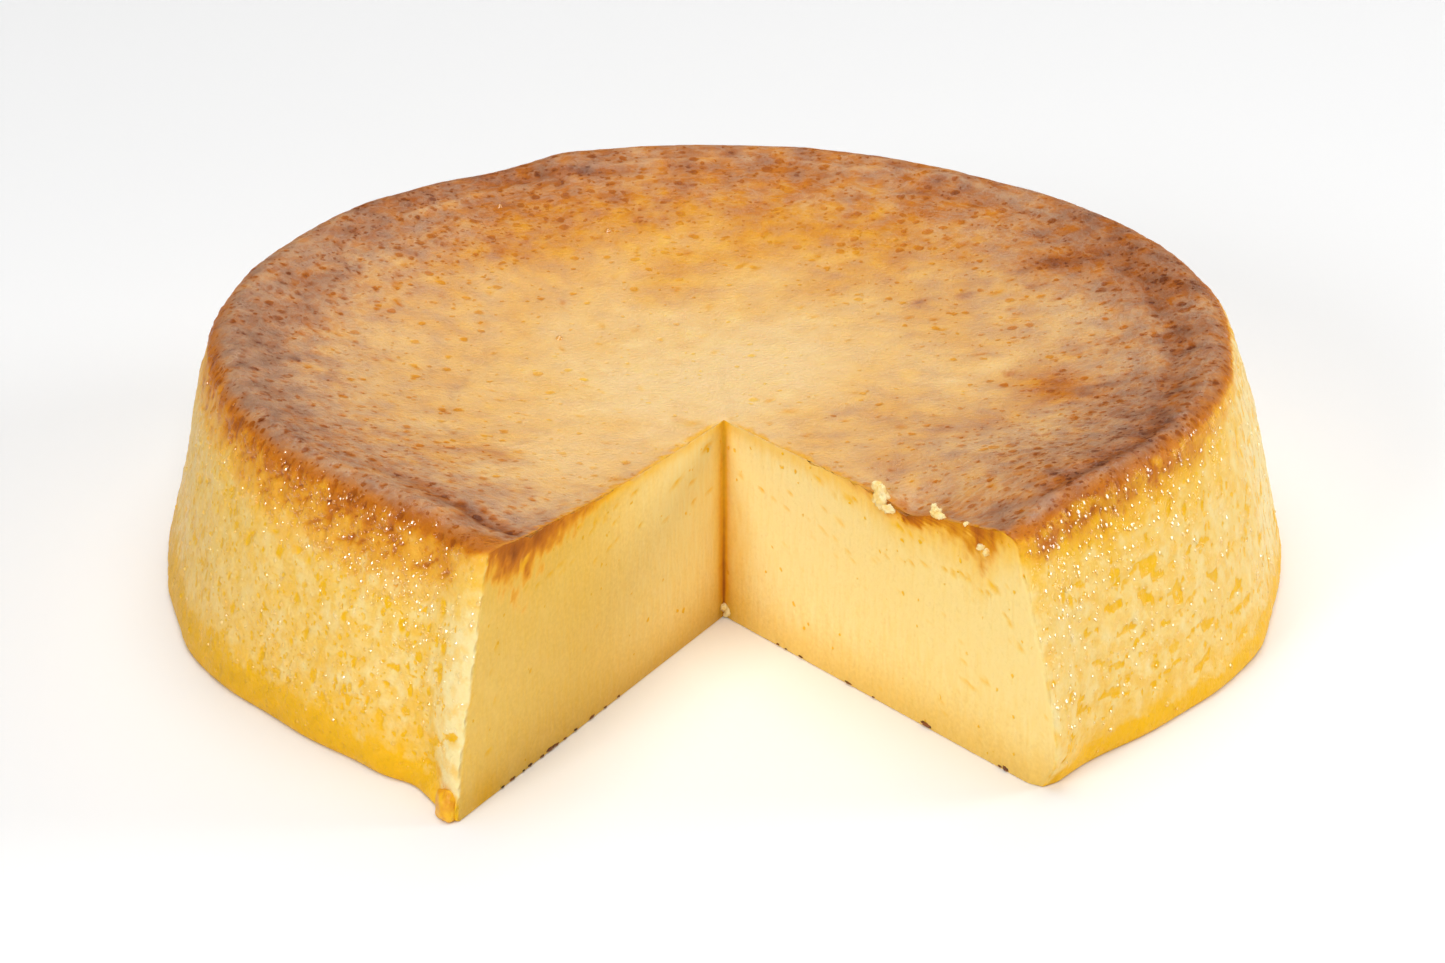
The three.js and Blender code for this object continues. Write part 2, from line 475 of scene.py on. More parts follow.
@dataclass(frozen=True)
class WallSkin:
    """The side that stood against the tin: pits, tears, a soaked foot and browning that runs down."""

    form: FlanForm
    # Radius that turns an azimuth into millimetres of wall, and the azimuths of the cuts' edges on it.
    round: float = 110
    left_edge: float = -23.5
    right_edge: float = 31.5
    # Azimuths between which each side fades in and out.
    left_side: tuple[float, float, float, float] = (-110, -85, -20, 10)
    right_side: tuple[float, float, float, float] = (-10, 40, 95, 130)
    # Browning of the crust, and of the stain below it: on the left less, and most near one azimuth.
    crust_brown: float = 0.66
    stain_brown: float = 0.46
    stain_less_left: float = 0.08
    stain_more_right: float = 0.13
    stain_azimuth: float = 52
    most_browned: float = 0.68
    smudge_brown: float = 0.38
    # Heights over which amber fades in.
    amber_from: float = 31
    amber_to: float = 48.5
    # How deep the openings are and how high the lumps, in millimetres.
    oval_depth: float = 0.42
    tear_depth: float = 0.4
    hole_depth: float = 0.5
    lump_height: float = 0.2
    # Azimuth in degrees and how far the rim's browning runs down the wall there.
    run_down: Table = (
        (-150, 4.5), (-110, 6), (-90, 6.5), (-78, 6.5), (-68, 5.4), (-58, 6.2), (-47, 8), (-36, 8),
        (-29, 6), (-24, 2.5), (31, 1.4), (35, 3.2), (45, 3.6), (55, 3.2), (65, 2.2), (74, 1), (90, 0.8),
        (110, 3), (140, 4.5),
    )
    # Azimuth and strength of the amber that the browning fades through.
    amber: Table = (
        (-150, 0.8), (-100, 0.6), (-82, 1), (-70, 1), (-30, 0.95), (-25, 0.5), (31, 0.7), (36, 0.95),
        (41, 1), (45, 1), (55, 0.85), (67, 0.65), (77, 0.25), (90, 0.2), (110, 0.5), (140, 0.8),
    )
    # Azimuth and share of painted shade: a duller, deeper gold, most on the left-hand side, where less light
    # falls.
    painted_shade: Table = (
        (-130, 0.15), (-80, 0.15), (-60, 0.15), (-46, 0.09), (-34, 0.02), (-26, 0), (90, 0), (130, 0.1),
    )
    # Azimuth and height of the soaked band at the foot.
    foot_band: Table = (
        (-130, 7), (-100, 12), (-88, 11), (-75, 9.5), (-60, 8.5), (-45, 6.5), (-31, 3.5), (-28, 1.2),
        (-24, 0.5), (31, 1.5), (36, 3.6), (45, 4.8), (60, 4.2), (72, 6), (85, 4.5), (130, 6),
    )
    # Right-hand holes and tears: azimuth, height, half-sizes, lean.
    right_holes: Table = (
        (51.8, 14.8, 2.7, 1.9, 10), (63.3, 16, 2, 1.1, 0), (48.6, 13.2, 1.6, 1.5, 0),
        (44.3, 13.5, 1.3, 1.7, 0), (44, 9.5, 1.4, 0.7, 0), (60, 13.5, 1.3, 1.6, 0),
        (44.6, 17.9, 1.2, 0.9, 0), (40.4, 19.7, 2.6, 1, -15), (34.9, 18.2, 2.4, 0.9, -15),
        (56, 22, 4, 1.1, 12), (53.6, 20.9, 2.2, 0.8, 0), (65.2, 25, 3.2, 0.9, 15),
        (69, 30.7, 1.6, 1.1, 0), (72.3, 31.6, 1.6, 1, 20), (72.3, 28, 1.3, 0.8, 0),
        (48.2, 28.7, 1.7, 0.7, 0), (45.6, 31.2, 2.6, 1.2, 20), (43.3, 32.2, 2.4, 0.8, 0),
        (47.2, 33.1, 2.2, 0.8, 10), (53.4, 30.4, 3.2, 0.6, 0), (39.1, 36, 3.6, 0.8, -8),
        (67, 43.5, 1, 1.4, 0), (80, 35.7, 5, 1.2, -8), (76, 14, 6, 0.7, -18), (70.5, 5.6, 8, 0.8, -5),
        (39, 24.5, 2.2, 0.6, -15), (36.5, 12.5, 1.8, 0.7, -20), (61.5, 38.5, 1.2, 0.7, 0),
        (57.5, 36.5, 2, 0.6, 0), (33, 27.5, 1.5, 0.6, -20), (33.2, 6.2, 2.2, 0.6, 25),
        (34.6, 7.6, 1, 0.8, 0), (57.5, 15.8, 2, 0.8, 0), (66.5, 33.5, 1.4, 0.6, 0),
        (49.8, 32.6, 1.2, 0.5, 0),
    )
    # The same on the left.
    left_holes: Table = (
        (-42.4, 41.6, 1.2, 1.4, 0), (-46, 43.5, 1.3, 1.2, 0), (-54.4, 43.5, 1.5, 1.6, 0),
        (-57.7, 39, 1, 1.4, 0), (-49.9, 35.4, 2, 0.8, 0), (-67.4, 19.7, 3.2, 1.2, 15),
        (-75.3, 21, 2.6, 0.8, 15), (-53.5, 21.2, 2, 0.6, 0), (-38.2, 16.6, 1, 0.8, 0),
        (-34.2, 22, 2.4, 0.9, 5), (-34.9, 18.2, 1.5, 0.8, 0), (-27.7, 12.2, 3.6, 1, 25),
        (-25.4, 15.4, 2.6, 0.9, 25), (-25.9, 2.9, 4.2, 1.7, 30), (-29, 6.5, 2.6, 0.7, 25),
        (-53.3, 13.5, 0.7, 1.2, 0), (-50.2, 13.1, 0.7, 1.2, 0), (-48.6, 13, 0.7, 1, 0),
        (-53.8, 10.4, 0.8, 1, 0), (-48.9, 10.2, 0.8, 1.1, 0), (-41.7, 13.8, 0.7, 1.1, 0),
        (-39.4, 12, 0.7, 1.2, 0), (-37.2, 13.6, 0.7, 1.1, 0), (-35.5, 11, 0.8, 1.1, 0),
        (-32.3, 10.3, 0.8, 1, 0), (-40.5, 10.3, 0.7, 1, 0), (-64, 44, 1.6, 1, 0),
        (-61, 40.5, 1.2, 1.2, 0), (-70, 42.5, 1.8, 0.8, 0), (-75, 31, 2.2, 0.6, 15),
        (-31, 35, 1, 0.8, 0), (-28.5, 31, 2.2, 0.5, 12), (-27.5, 26, 2.4, 0.5, 12),
    )
    # Brown smudges: azimuth, height, half-sizes, lean, strength.
    smudges: tuple[Mark, ...] = marks(
        (35, 45.4, 2.2, 1.6, 0, 0.5), (44.2, 43.2, 0.6, 2.4, 0, 0.4), (45.6, 45.4, 1, 1.4, 0, 0.45),
        (51.9, 40.4, 0.8, 0.5, 0, 0.5), (72, 41, 0.8, 0.6, 0, 0.5), (-29.5, 45.4, 1.1, 1.4, 0, 0.4),
        (-37.2, 46, 1.4, 0.7, 0, 0.4), (-42.4, 41.6, 0.6, 1.1, 0, 0.3), (-25.9, 2.6, 2.2, 1.6, 0, 0.35),
        (-50.3, 4.2, 0.5, 0.4, 0, 0.5), (43, 39.2, 0.5, 0.8, 0, 0.3), (48, 46, 0.6, 1, 0, 0.3),
        (-27, 7, 0.45, 0.8, 0, 0.9), (-25.9, 5.8, 0.5, 0.8, 0, 0.9),
    )

    def survey(self, points: Array, azimuth: Array, z: Array) -> WallPlaces:
        """Works out what the parts of the finish share.

        Args:
            points: places on the wall, n by 3.
            azimuth: their azimuths, running on past the back without a jump.
            z: their heights on the even profile.

        Returns:
            The places with their shares.
        """
        coarse, fine = Ripple(11), Ripple(12)
        degrees = np.degrees(turn(0, azimuth))
        warp = coarse.at(points, 4) * 0.7
        ragged = coarse.layered(points, 5.5)
        left, right = plateau(degrees, *self.left_side), plateau(degrees, *self.right_side)
        from_left = np.abs(np.radians(degrees - self.left_edge)) * self.round + warp
        beside_left = falling(3, 10, from_left + 1.2 * fine.at(points, 2.4))
        from_right = np.abs(np.radians(degrees - self.right_edge)) * self.round + warp
        beside_right = falling(0.8, 3, from_right)
        reach, band = around(self.run_down, degrees), around(self.foot_band, degrees)
        foot = falling(band * 0.5, band * 1.2 + 0.6, z + 1.7 * ragged)
        return WallPlaces(
            points, z, degrees, azimuth * self.form.even_radius(z), coarse, fine, warp, ragged, left, right,
            beside_left, beside_right, reach,
            bubbled=ease(46 - reach * 1.8, 46 - reach * 0.3, z),
            foot=foot * (1 - 0.5 * beside_right),
            low=falling(1, 15.5, z + 1.5 * ragged) * (0.55 + 0.45 * left),
        )

    def browning(self, at: WallPlaces) -> tuple[Array, Array]:
        """Browning that runs down from the rim, and the amber that it fades through.

        Args:
            at: the places.

        Returns:
            The browning and the amber.
        """
        above = (at.z - 50 + at.reach * (0.6 + 0.4 * at.ragged)) / (0.8 + 0.45 * at.reach)
        crust = self.crust_brown * ease(-1.1, 1.1, above) ** 1.3
        strength = around(self.amber, at.degrees)
        amber = strength * ease(self.amber_from, self.amber_to, at.z + 1.6 * at.ragged)
        # Under the crust the stain is streaky: noise drawn out upright, fading over 6 to 14 mm.
        apart = at.points + 33
        stain = at.coarse.at(apart, (2.4, 2.4, 6)) + 0.6 * at.fine.at(apart, (1.2, 1.2, 2.2))
        near = bell((at.degrees - self.stain_azimuth) / 20)
        deep = self.stain_brown - self.stain_less_left * at.left + self.stain_more_right * near
        low, high = 47.5 - 2.2 * at.reach - 0.6 * at.right, 48.5 - 0.4 * at.right
        tail = ease(low, high, at.z + 1.8 * at.ragged) * strength * (deep + 0.15 * stain)
        return np.maximum(crust, tail), amber

    def openings(self, at: WallPlaces) -> tuple[Array, Array, Array]:
        """Upright oval pits under the rim, tears, and the largest holes; finer pits are in the finish.

        Args:
            at: the places.

        Returns:
            The depth of each kind, 0 to 1.
        """
        filled = 0.26 + 0.55 * at.left * at.bubbled
        ovals = Spots(21, 3, 0.7, 1.6, 1.45).depth(at.u + at.warp, at.z + at.warp, filled) ** 0.6
        ovals = ovals * (0.35 + 0.65 * ease(26, 38, at.z + 3 * at.ragged)) * (1 - at.beside_left)

        # Where broad, flattened noise runs high, the skin has pulled away.
        torn = at.coarse.at(at.points + (0, 0, 9), (6.5, 6.5, 2.6))
        torn = torn + 0.35 * at.fine.at(at.points, 1.6)
        strength = (0.6 + 0.3 * at.right) * ease(4, 9, at.z) * falling(30, 42, at.z)
        tears = ease(0.36, 0.66, torn + 0.08 * at.right) * strength
        tears = tears * (1 - at.beside_left) * (1 - at.beside_right)

        holes = np.zeros(len(at.points))
        to_mm = math.radians(self.round)
        u = at.degrees * to_mm + 0.8 * at.fine.at(at.points, 1.3)
        v = at.z + 0.6 * at.fine.at(at.points + 50, 1.3)
        for azimuth, height, wide, tall, lean in self.right_holes + self.left_holes:
            hole = Mark(azimuth * to_mm, height, wide, tall, lean)
            holes = np.maximum(holes, 0.85 * hole.at(u, v, 3))
        return ovals, tears, holes

    def soaking(self, at: WallPlaces, amber: Array) -> Array:
        """Syrup: in the foot, in the yellow above it, in the amber, in blotches and down the left edge.

        Args:
            at: the places.
            amber: the amber there.

        Returns:
            The amount.
        """
        strong = 0.85 + 0.45 * np.maximum(at.left, at.right) + 0.2 * at.fine.layered(at.points, 2.2)
        blotch = ease(-0.2, 0.9, at.coarse.layered(at.points + 80, 9))
        edge = 0.35 * ease(34, 46, at.z) + 1.1 - 1.1 * ease(1.8, 5.5, at.z)
        return np.clip(
            at.foot * strong + 0.92 * at.low * (1 - 0.75 * at.beside_left)
            + (0.12 + 0.88 * at.right) * amber + at.left * (0.04 + 0.3 * blotch) * (1 - at.beside_left)
            + at.beside_left * edge, 0, 1.4
        )

    def paleness(self, at: WallPlaces, amber: Array) -> Array:
        """Painted light beside the left-hand cut; creamy beside the right, at the far right and in smears on
        both sides.

        Args:
            at: the places.
            amber: the amber there.

        Returns:
            The amount.
        """
        smears = ease(-0.3, 0.7, at.fine.layered(at.points * (1, 1, 0.6), 3))
        # The strip beside the left-hand cut is painted light: paler where the front light falls on it.
        strips = (0.85 * at.beside_left + 0.4 * at.beside_right) * falling(30, 44, at.z)
        smeared = 0.45 * at.right + 0.45 * at.left * ease(-72, -44, at.degrees)
        far_right = 0.55 * ease(68, 84, at.degrees) * falling(92, 140, at.degrees)
        return np.clip(
            strips * ease(1.8, 5.5, at.z) + far_right + smeared * smears
            - at.foot - at.low * (1 - at.beside_left) - (0.6 - 0.45 * at.left) * amber, 0, 1
        )

    def dress(self, points: Array, azimuth: Array, z: Array) -> tuple[Array, Amounts]:
        """Relief and finish of the wall.

        Args:
            points: places on the wall, n by 3.
            azimuth: their azimuths, running on past the back without a jump.
            z: their heights on the even profile.

        Returns:
            How far each place moves outwards, in millimetres, and the amounts.
        """
        at = self.survey(points, azimuth, z)
        left, foot, bubbled = at.left, at.foot, at.bubbled
        browned, amber = self.browning(at)
        ovals, tears, holes = self.openings(at)
        smudge = self.smudge_brown * sum(mark.at(at.degrees, z) for mark in self.smudges)
        rings = (0.2 * ovals * (0.3 + 0.7 * left) + 0.05 * holes) * bubbled
        rings = rings * (1 - 0.8 * ease(0.35, 0.6, browned))
        browned = np.clip(browned + smudge + rings + 0.07 * left * foot, 0, self.most_browned)
        crust = ease(0.05, 0.25, browned)
        quiet = (1 - np.maximum(at.beside_left, at.beside_right)) * (1 - 0.3 * foot)
        row = bell((z - 12.5) / 4.5) * left
        pitted = np.clip(0.24 + 0.44 * left + 0.4 * bubbled + 0.4 * row, 0, 1)
        specked = np.clip(0.22 + 0.45 * left + 0.4 * bubbled, 0, 1)
        # The crust is duller than the pits below it, so that its brown stays deep between the beads.
        wet = 0.45 + 0.3 * ovals + 0.25 * at.coarse.layered(points + 110, 8)
        amounts = blank(len(points)) | {
            Amount.BROWNED: browned,
            Amount.OPENED: np.maximum.reduce([ovals, tears, holes * (0.8 + 0.2 * left)]),
            Amount.SOAKED: self.soaking(at, amber),
            # Painted shade: a duller gold on the left-hand side, more in its ovals and in its part of the
            # foot band.
            Amount.PAINTED_SHADE: np.clip(
                around(self.painted_shade, at.degrees) + 0.1 * left * ovals * bubbled + 0.26 * left * foot, 0, 1
            ),
            Amount.PALE: self.paleness(at, amber),
            Amount.PITTED: np.maximum(quiet * pitted, 0.75 * crust),
            Amount.SPECKED: np.maximum(quiet * specked, crust),
            Amount.WET: np.clip(wet - 0.2 * crust - 0.2 * foot, 0.1, 1),
        }
        lumps = self.lump_height * at.coarse.layered(points + 20, 3.4) * (1 - 0.6 * at.beside_left)
        relief = lumps - self.oval_depth * ovals - self.tear_depth * tears - self.hole_depth * holes
        relief = relief + bubbled * left * 0.2 * at.fine.at(points, 1.7)
        # The foot spreads towards the left-hand tip, and the far left side is drawn in a little.
        spread = 2.8 * bell((at.degrees + 28) / 2.8) * bell(z / 4)
        spread = spread + 1.2 * bell((at.degrees + 34) / 3.5) * bell(z / 4.5)
        drawn_in = 1.2 * bell((at.degrees + 95) / 24) * bell((z - 24) / 14)
        return relief * ease(0, 1.6, z) + spread - drawn_in, amounts


@dataclass(frozen=True)
class TopSkin:
    """The browned skin on top: creamy in the middle, darker and pitted towards the rim."""

    form: FlanForm
    # Radius, browning, and the film with its painted sheen.
    rings: Table = (
        (0, 0.08, 0.95), (15, 0.12, 0.92), (28, 0.22, 0.85), (40, 0.3, 0.75), (55, 0.37, 0.72),
        (68, 0.44, 0.76), (78, 0.52, 0.74), (86, 0.61, 0.72), (92, 0.7, 0.68), (97, 0.73, 0.68),
        (99.5, 0.7, 0.66), (101.5, 0.68, 0.46), (103.5, 0.67, 0.1), (108, 0.64, 0),
    )
    # Browner and paler places: across, along, half-sizes, lean, how much.
    browner: tuple[Mark, ...] = marks(
        (62, 8, 30, 44, 0, 0.08), (42, -42, 18, 14, 40, 0.1), (67, -17, 9, 6, -35, 0.1),
        (72, -22, 2.4, 1.8, 0, 0.25), (66, -13, 2.2, 1.6, 0, 0.2), (76, -18, 2.4, 1.4, 20, 0.22),
        (69, -26, 1.8, 1.3, 0, 0.22), (20, -24, 14, 10, 40, 0.06), (69, 43, 7, 3.5, -15, 0.16),
        (41, 30, 1.8, 1.5, 0, 0.38), (50, 32, 2, 1.4, 0, 0.34), (-78, 33, 5, 2, 60, 0.18),
        (-84, 16, 6, 3, 80, 0.15), (-42, -48, 7, 4, -15, 0.2), (9, 24, 3, 2.4, 0, 0.14),
        (-30, 87, 9, 2.2, 8, 0.25), (72, -50, 12, 9, 50, 0.12), (80, -25, 6, 14, 0, 0.14),
        (-2, -3, 1.6, 2.4, 0, 0.22), (-14, -15, 0.9, 1.4, -20, 0.45), (-8, -25, 1, 1.6, 0, 0.4),
        (-68, 60, 12, 8, 45, 0.06), (-85, -10, 1.2, 1.2, 0, 0.3), (20, 47, 12, 6, -20, 0.06),
        (43, -34, 3, 1.6, 30, 0.14), (0, 96, 46, 6, 0, 0.03), (-54, 56, 20, 16, 45, 0.05),
        (82, 42, 13, 28, -30, 0.07), (22, -24, 14, 10, 40, 0.04), (-92, -14, 6, 34, 8, 0.11),
        (-78, -2, 9, 36, 6, 0.05), (93, 14, 5, 40, 0, 0.05), (52, -40, 14, 12, 0, 0.05),
    )
    paler: tuple[Mark, ...] = marks(
        (-18, -12, 34, 26, 20, 0.12), (54, -3, 5, 2.6, 20, 0.3), (46, -9, 2.4, 1.6, 0, 0.22),
        (66, 18, 15, 15, 0, 0.1), (8, -2, 16, 24, -20, 0.06), (-32, -50, 18, 12, 30, 0.09),
        (0, 60, 46, 20, 0, 0.06), (0, 96, 50, 5, 0, 0.06),
    )
    # Golden zones, where the film and its painted sheen are thin.
    golden: tuple[Mark, ...] = marks(
        (0, 80, 80, 38, 0, 0.46), (-4, 58, 44, 16, 0, 0.14), (-52, 58, 22, 18, 45, 0.18),
        (82, 42, 14, 30, -30, 0.28), (66, -64, 18, 8, 42, 0.25), (67, -17, 9, 7, -35, 0.65),
        (69, 43, 9, 4, -15, 0.45), (-42, -47, 7, 4, -15, 0.35), (35, 62, 24, 12, -25, 0.12),
        (-48, -28, 5, 14, 0, 0.12), (5, 28, 10, 5, 0, 0.15), (92, 14, 6, 40, 0, 0.2),
        (56, -62, 18, 14, 40, 0.12),
    )
    # Milky or mauve streaked places, where the film and its painted sheen lie thicker.
    veiled: tuple[Mark, ...] = marks(
        (52, -58, 22, 18, 30, 0.04), (-84, -25, 7, 26, 12, 0.25), (68, 18, 13, 13, 0, 0.25),
        (-72, 50, 8, 22, -38, 0.18), (-38, -78, 16, 9, -35, 0.3), (-94, -14, 6, 40, 8, 0.25),
        (-24, -46, 18, 14, 0, 0.2), (46, -46, 16, 12, 20, 0.12),
    )
    # Dark furrows and creases: the places they run through, width, strength.
    furrows: tuple[Stroke, ...] = strokes(
        (((80, 44), (87, 30), (90, 14), (91, -4), (89, -22), (86, -38), (80, -50)), 2.6, 0.55),
        (((86, -46), (80, -55), (72, -64), (62, -74)), 2.3, 0.85),
        (((60, 41), (67, 42), (74, 41)), 1.6, 0.22),
        (((-66, -62), (-58, -70), (-50, -77), (-42, -84)), 2.6, 0.75),
        (((-50, -78), (-44, -84), (-38, -88)), 1.3, 0.7),
        (((-88, 2), (-89, -14), (-86, -30), (-81, -42)), 2.6, 0.4),
        (((-86, 26), (-80, 40), (-72, 52)), 2.2, 0.35), (((-20, 87), (-32, 86), (-42, 83)), 1.3, 0.4),
        (((34, 82), (46, 77), (58, 71)), 1.6, 0.3),
    )
    # Fine creases that only catch the light.
    creases: tuple[Stroke, ...] = strokes(
        (((-47, 8), (-51, -6), (-54, -20), (-54.5, -32), (-52, -40)), 0.9, 0.65),
        (((-20, 44), (-6, 47), (5, 45), (11, 39), (14, 31)), 0.9, 0.45),
        (((-40, 18), (-44, 10), (-47, 2)), 0.8, 0.35), (((-54, -34), (-49, -42), (-43, -47)), 0.9, 0.5),
        (((44, -44), (52, -52), (57, -62)), 1, 0.3), (((-48, -70), (-42, -78), (-36, -84)), 0.9, 0.5),
        (((92, 34), (78, 40), (62, 36)), 1, 0.25),
    )
    # Raised pale lines that follow the back of the rim.
    ridges: tuple[Stroke, ...] = strokes(
        (((-66, 62), (-50, 76), (-30, 88), (-8, 92), (12, 93), (30, 88), (48, 84), (62, 72)), 1, 0.8),
        (((-40, 86), (-18, 95), (4, 96), (26, 93), (50, 87)), 0.8, 0.4),
        (((62, 72), (72, 60), (80, 50)), 1, 0.4),
    )
    # Where fine pits crowd, the first mark fully and the second partly.
    crowds: tuple[Mark, Mark] = (Mark(72, -52, 22, 20), Mark(-62, 58, 34, 16, 45, 0.7))
    # Where the skin is dragged down over the edge, between two crumbs, and how far in millimetres.
    dragged: Mark = Mark(35.3, -68, 8.5, 5, 39, 1.5)
    # A pucker: the place, and the middle and number of the spokes that run into it.
    pucker: Mark = Mark(-46, -40, 16, 14)
    pucker_middle: tuple[float, float] = (-44, -46)
    pucker_spokes: float = 17
    # How far features wander, in millimetres, broadly and finely.
    wander: float = 1.3
    fine_wander: float = 0.4
    # Depths and heights in millimetres.
    pit_depth: float = 0.2
    broad_depth: float = 0.14
    furrow_depth: float = 0.75
    crease_depth: float = 0.3
    ridge_height: float = 0.35

    def hem(self, points: Array, coarse: Ripple, fine: Ripple, amounts: Amounts) -> None:
        """Bares the skin beside the cuts, where the knife tore its film off: golden, 0.3 to 1.8 mm wide.

        The width is noise, so the hem has teeth. On the right it is rolled over between the crumbs.

        Args:
            points: places on the top, n by 3.
            coarse: noise for broad teeth.
            fine: noise for small teeth.
            amounts: the amounts, which it changes.
        """
        apart = points * (1, 1, 0) + 90
        tooth = np.clip(1.1 + 1.6 * fine.at(apart, 1.8) + 0.9 * coarse.at(apart, 3.6), 0.25, 2.6)
        for side, lip in ((Side.LEFT, 0), (Side.RIGHT, 0.8)):
            run, aside = self.form.beside_cut(points[:, 0], points[:, 1], side)
            rolled = lip * bell((run - 55) / 10)
            bared = falling(0.5, 1.1, np.abs(aside) / (tooth + 2.5 * rolled)) * ease(0, 6, run)
            brown = 0.2 + 0.0035 * run + 0.25 * rolled
            amounts[Amount.BROWNED] = mixed(amounts[Amount.BROWNED], brown, 0.8 * bared)
            amounts[Amount.FILM_AND_SHEEN] = mixed(amounts[Amount.FILM_AND_SHEEN], 0.08 + 0.15 * rolled, bared)
            amounts[Amount.SOAKED] = np.maximum(amounts[Amount.SOAKED], 0.6 * bared * (1 - rolled))

    def dress(self, points: Array) -> tuple[Array, Amounts]:
        """Relief and finish of the top.

        Args:
            points: places on the top, n by 3.

        Returns:
            How far each place rises, in millimetres, and the amounts.
        """
        coarse, fine = Ripple(31), Ripple(32)
        flat = points * (1, 1, 0)
        x = points[:, 0] + self.wander * coarse.at(flat, 9) + self.fine_wander * fine.at(flat, 2.5)
        apart = flat + 60
        y = points[:, 1] + self.wander * coarse.at(apart, 9) + self.fine_wander * fine.at(apart, 2.5)
        far, azimuth = np.hypot(x, y), np.arctan2(x, -y)
        out = far + 2.2 * coarse.layered(flat, 16)
        radii, browning, film = np.array(self.rings).T
        browned = np.interp(out, radii, browning)
        film_and_sheen = np.interp(out, radii, film)
        browned = browned + sum(m.at(x, y) for m in self.browner) - sum(m.at(x, y) for m in self.paler)
        film_and_sheen = film_and_sheen + sum(m.at(x, y) for m in self.veiled) - sum(m.at(x, y) for m in self.golden)

        # Brushed streaks: noise drawn out along the rim, strongest in the outer third.
        along = np.stack([azimuth * 9, far, np.zeros_like(far)], axis=1)
        brushed = coarse.at(along, (1, 1.5, 1)) + 0.5 * fine.at(along, (0.6, 0.8, 1))
        outer = ease(58, 90, far)
        furrow, crease, ridge = (
            np.clip(sum(stroke.at(x, y) for stroke in table), 0, 1)
            for table in (self.furrows, self.creases, self.ridges)
        )
        mottle = coarse.layered(flat + 15, 5, 4)
        swirl = coarse.layered(np.stack([x, y, 0 * x], 1) + 200, 13)

        # Pits: the broad ones here, the finer ones in the finish, crowded towards the rim.
        crowd = sum(mark.at(x, y) for mark in self.crowds)
        pits = Spots(41, 2.6, 0.6, 1.15, 1.1).depth(points[:, 0], points[:, 1], 0.05 + 0.2 * outer)
        broad = Spots(42, 5.2, 0.8, 1.9, 1.1).depth(x, y, 0.14 + 0.2 * outer)
        browned = browned + 0.14 * mottle + 0.07 * swirl + 0.1 * pits + 0.08 * broad
        browned = browned + 0.1 * furrow + 0.08 * crease - 0.12 * ridge
        film_and_sheen = film_and_sheen + 0.2 * mottle - 0.18 * swirl - 0.7 * pits - 0.6 * broad - 0.42 * furrow + 0.4 * ridge
        scorched = 0.44 * furrow * (0.7 + 1.2 * mottle) + 0.16 * crease + 0.22 * crowd * ease(70, 86, far)
        rim = ease(96, 101, far)
        amounts = blank(len(points)) | {
            Amount.BROWNED: np.clip(browned, 0, 1),
            Amount.FILM_AND_SHEEN: np.clip(film_and_sheen, 0, 1),
            Amount.SCORCHED: np.clip(scorched, 0, 1),
            Amount.PITTED: np.clip(0.12 + 0.3 * ease(30, 76, far) + 0.45 * crowd, 0, 1),
            Amount.SPECKED: np.clip(0.12 + 0.32 * ease(35, 85, far) + 0.8 * crowd + 0.6 * rim, 0, 1),
            Amount.BRUSHED: (0.15 + 0.85 * outer) * falling(99, 103, far),
            Amount.WET: 0.3 + 0.15 * crowd + 0.2 * rim * (y < 30),
        }
        self.hem(points, coarse, fine, amounts)

        wrinkle = bell((far - 92) / 9) * 0.1 * brushed
        across, along = self.pucker_middle
        spokes = np.sin(self.pucker_spokes * np.arctan2(y - along, x - across) + 2 * mottle)
        relief = 0.1 * coarse.layered(flat, 7) + wrinkle + 0.09 * self.pucker.at(x, y) * spokes
        relief = relief - self.pit_depth * pits - self.broad_depth * broad - self.furrow_depth * furrow
        relief = relief - self.crease_depth * crease + self.ridge_height * ridge
        relief = relief + 0.05 * (0.4 + outer) * fine.layered(flat, 1.8, 2)
        return relief - self.dragged.at(points[:, 0], points[:, 1]), amounts


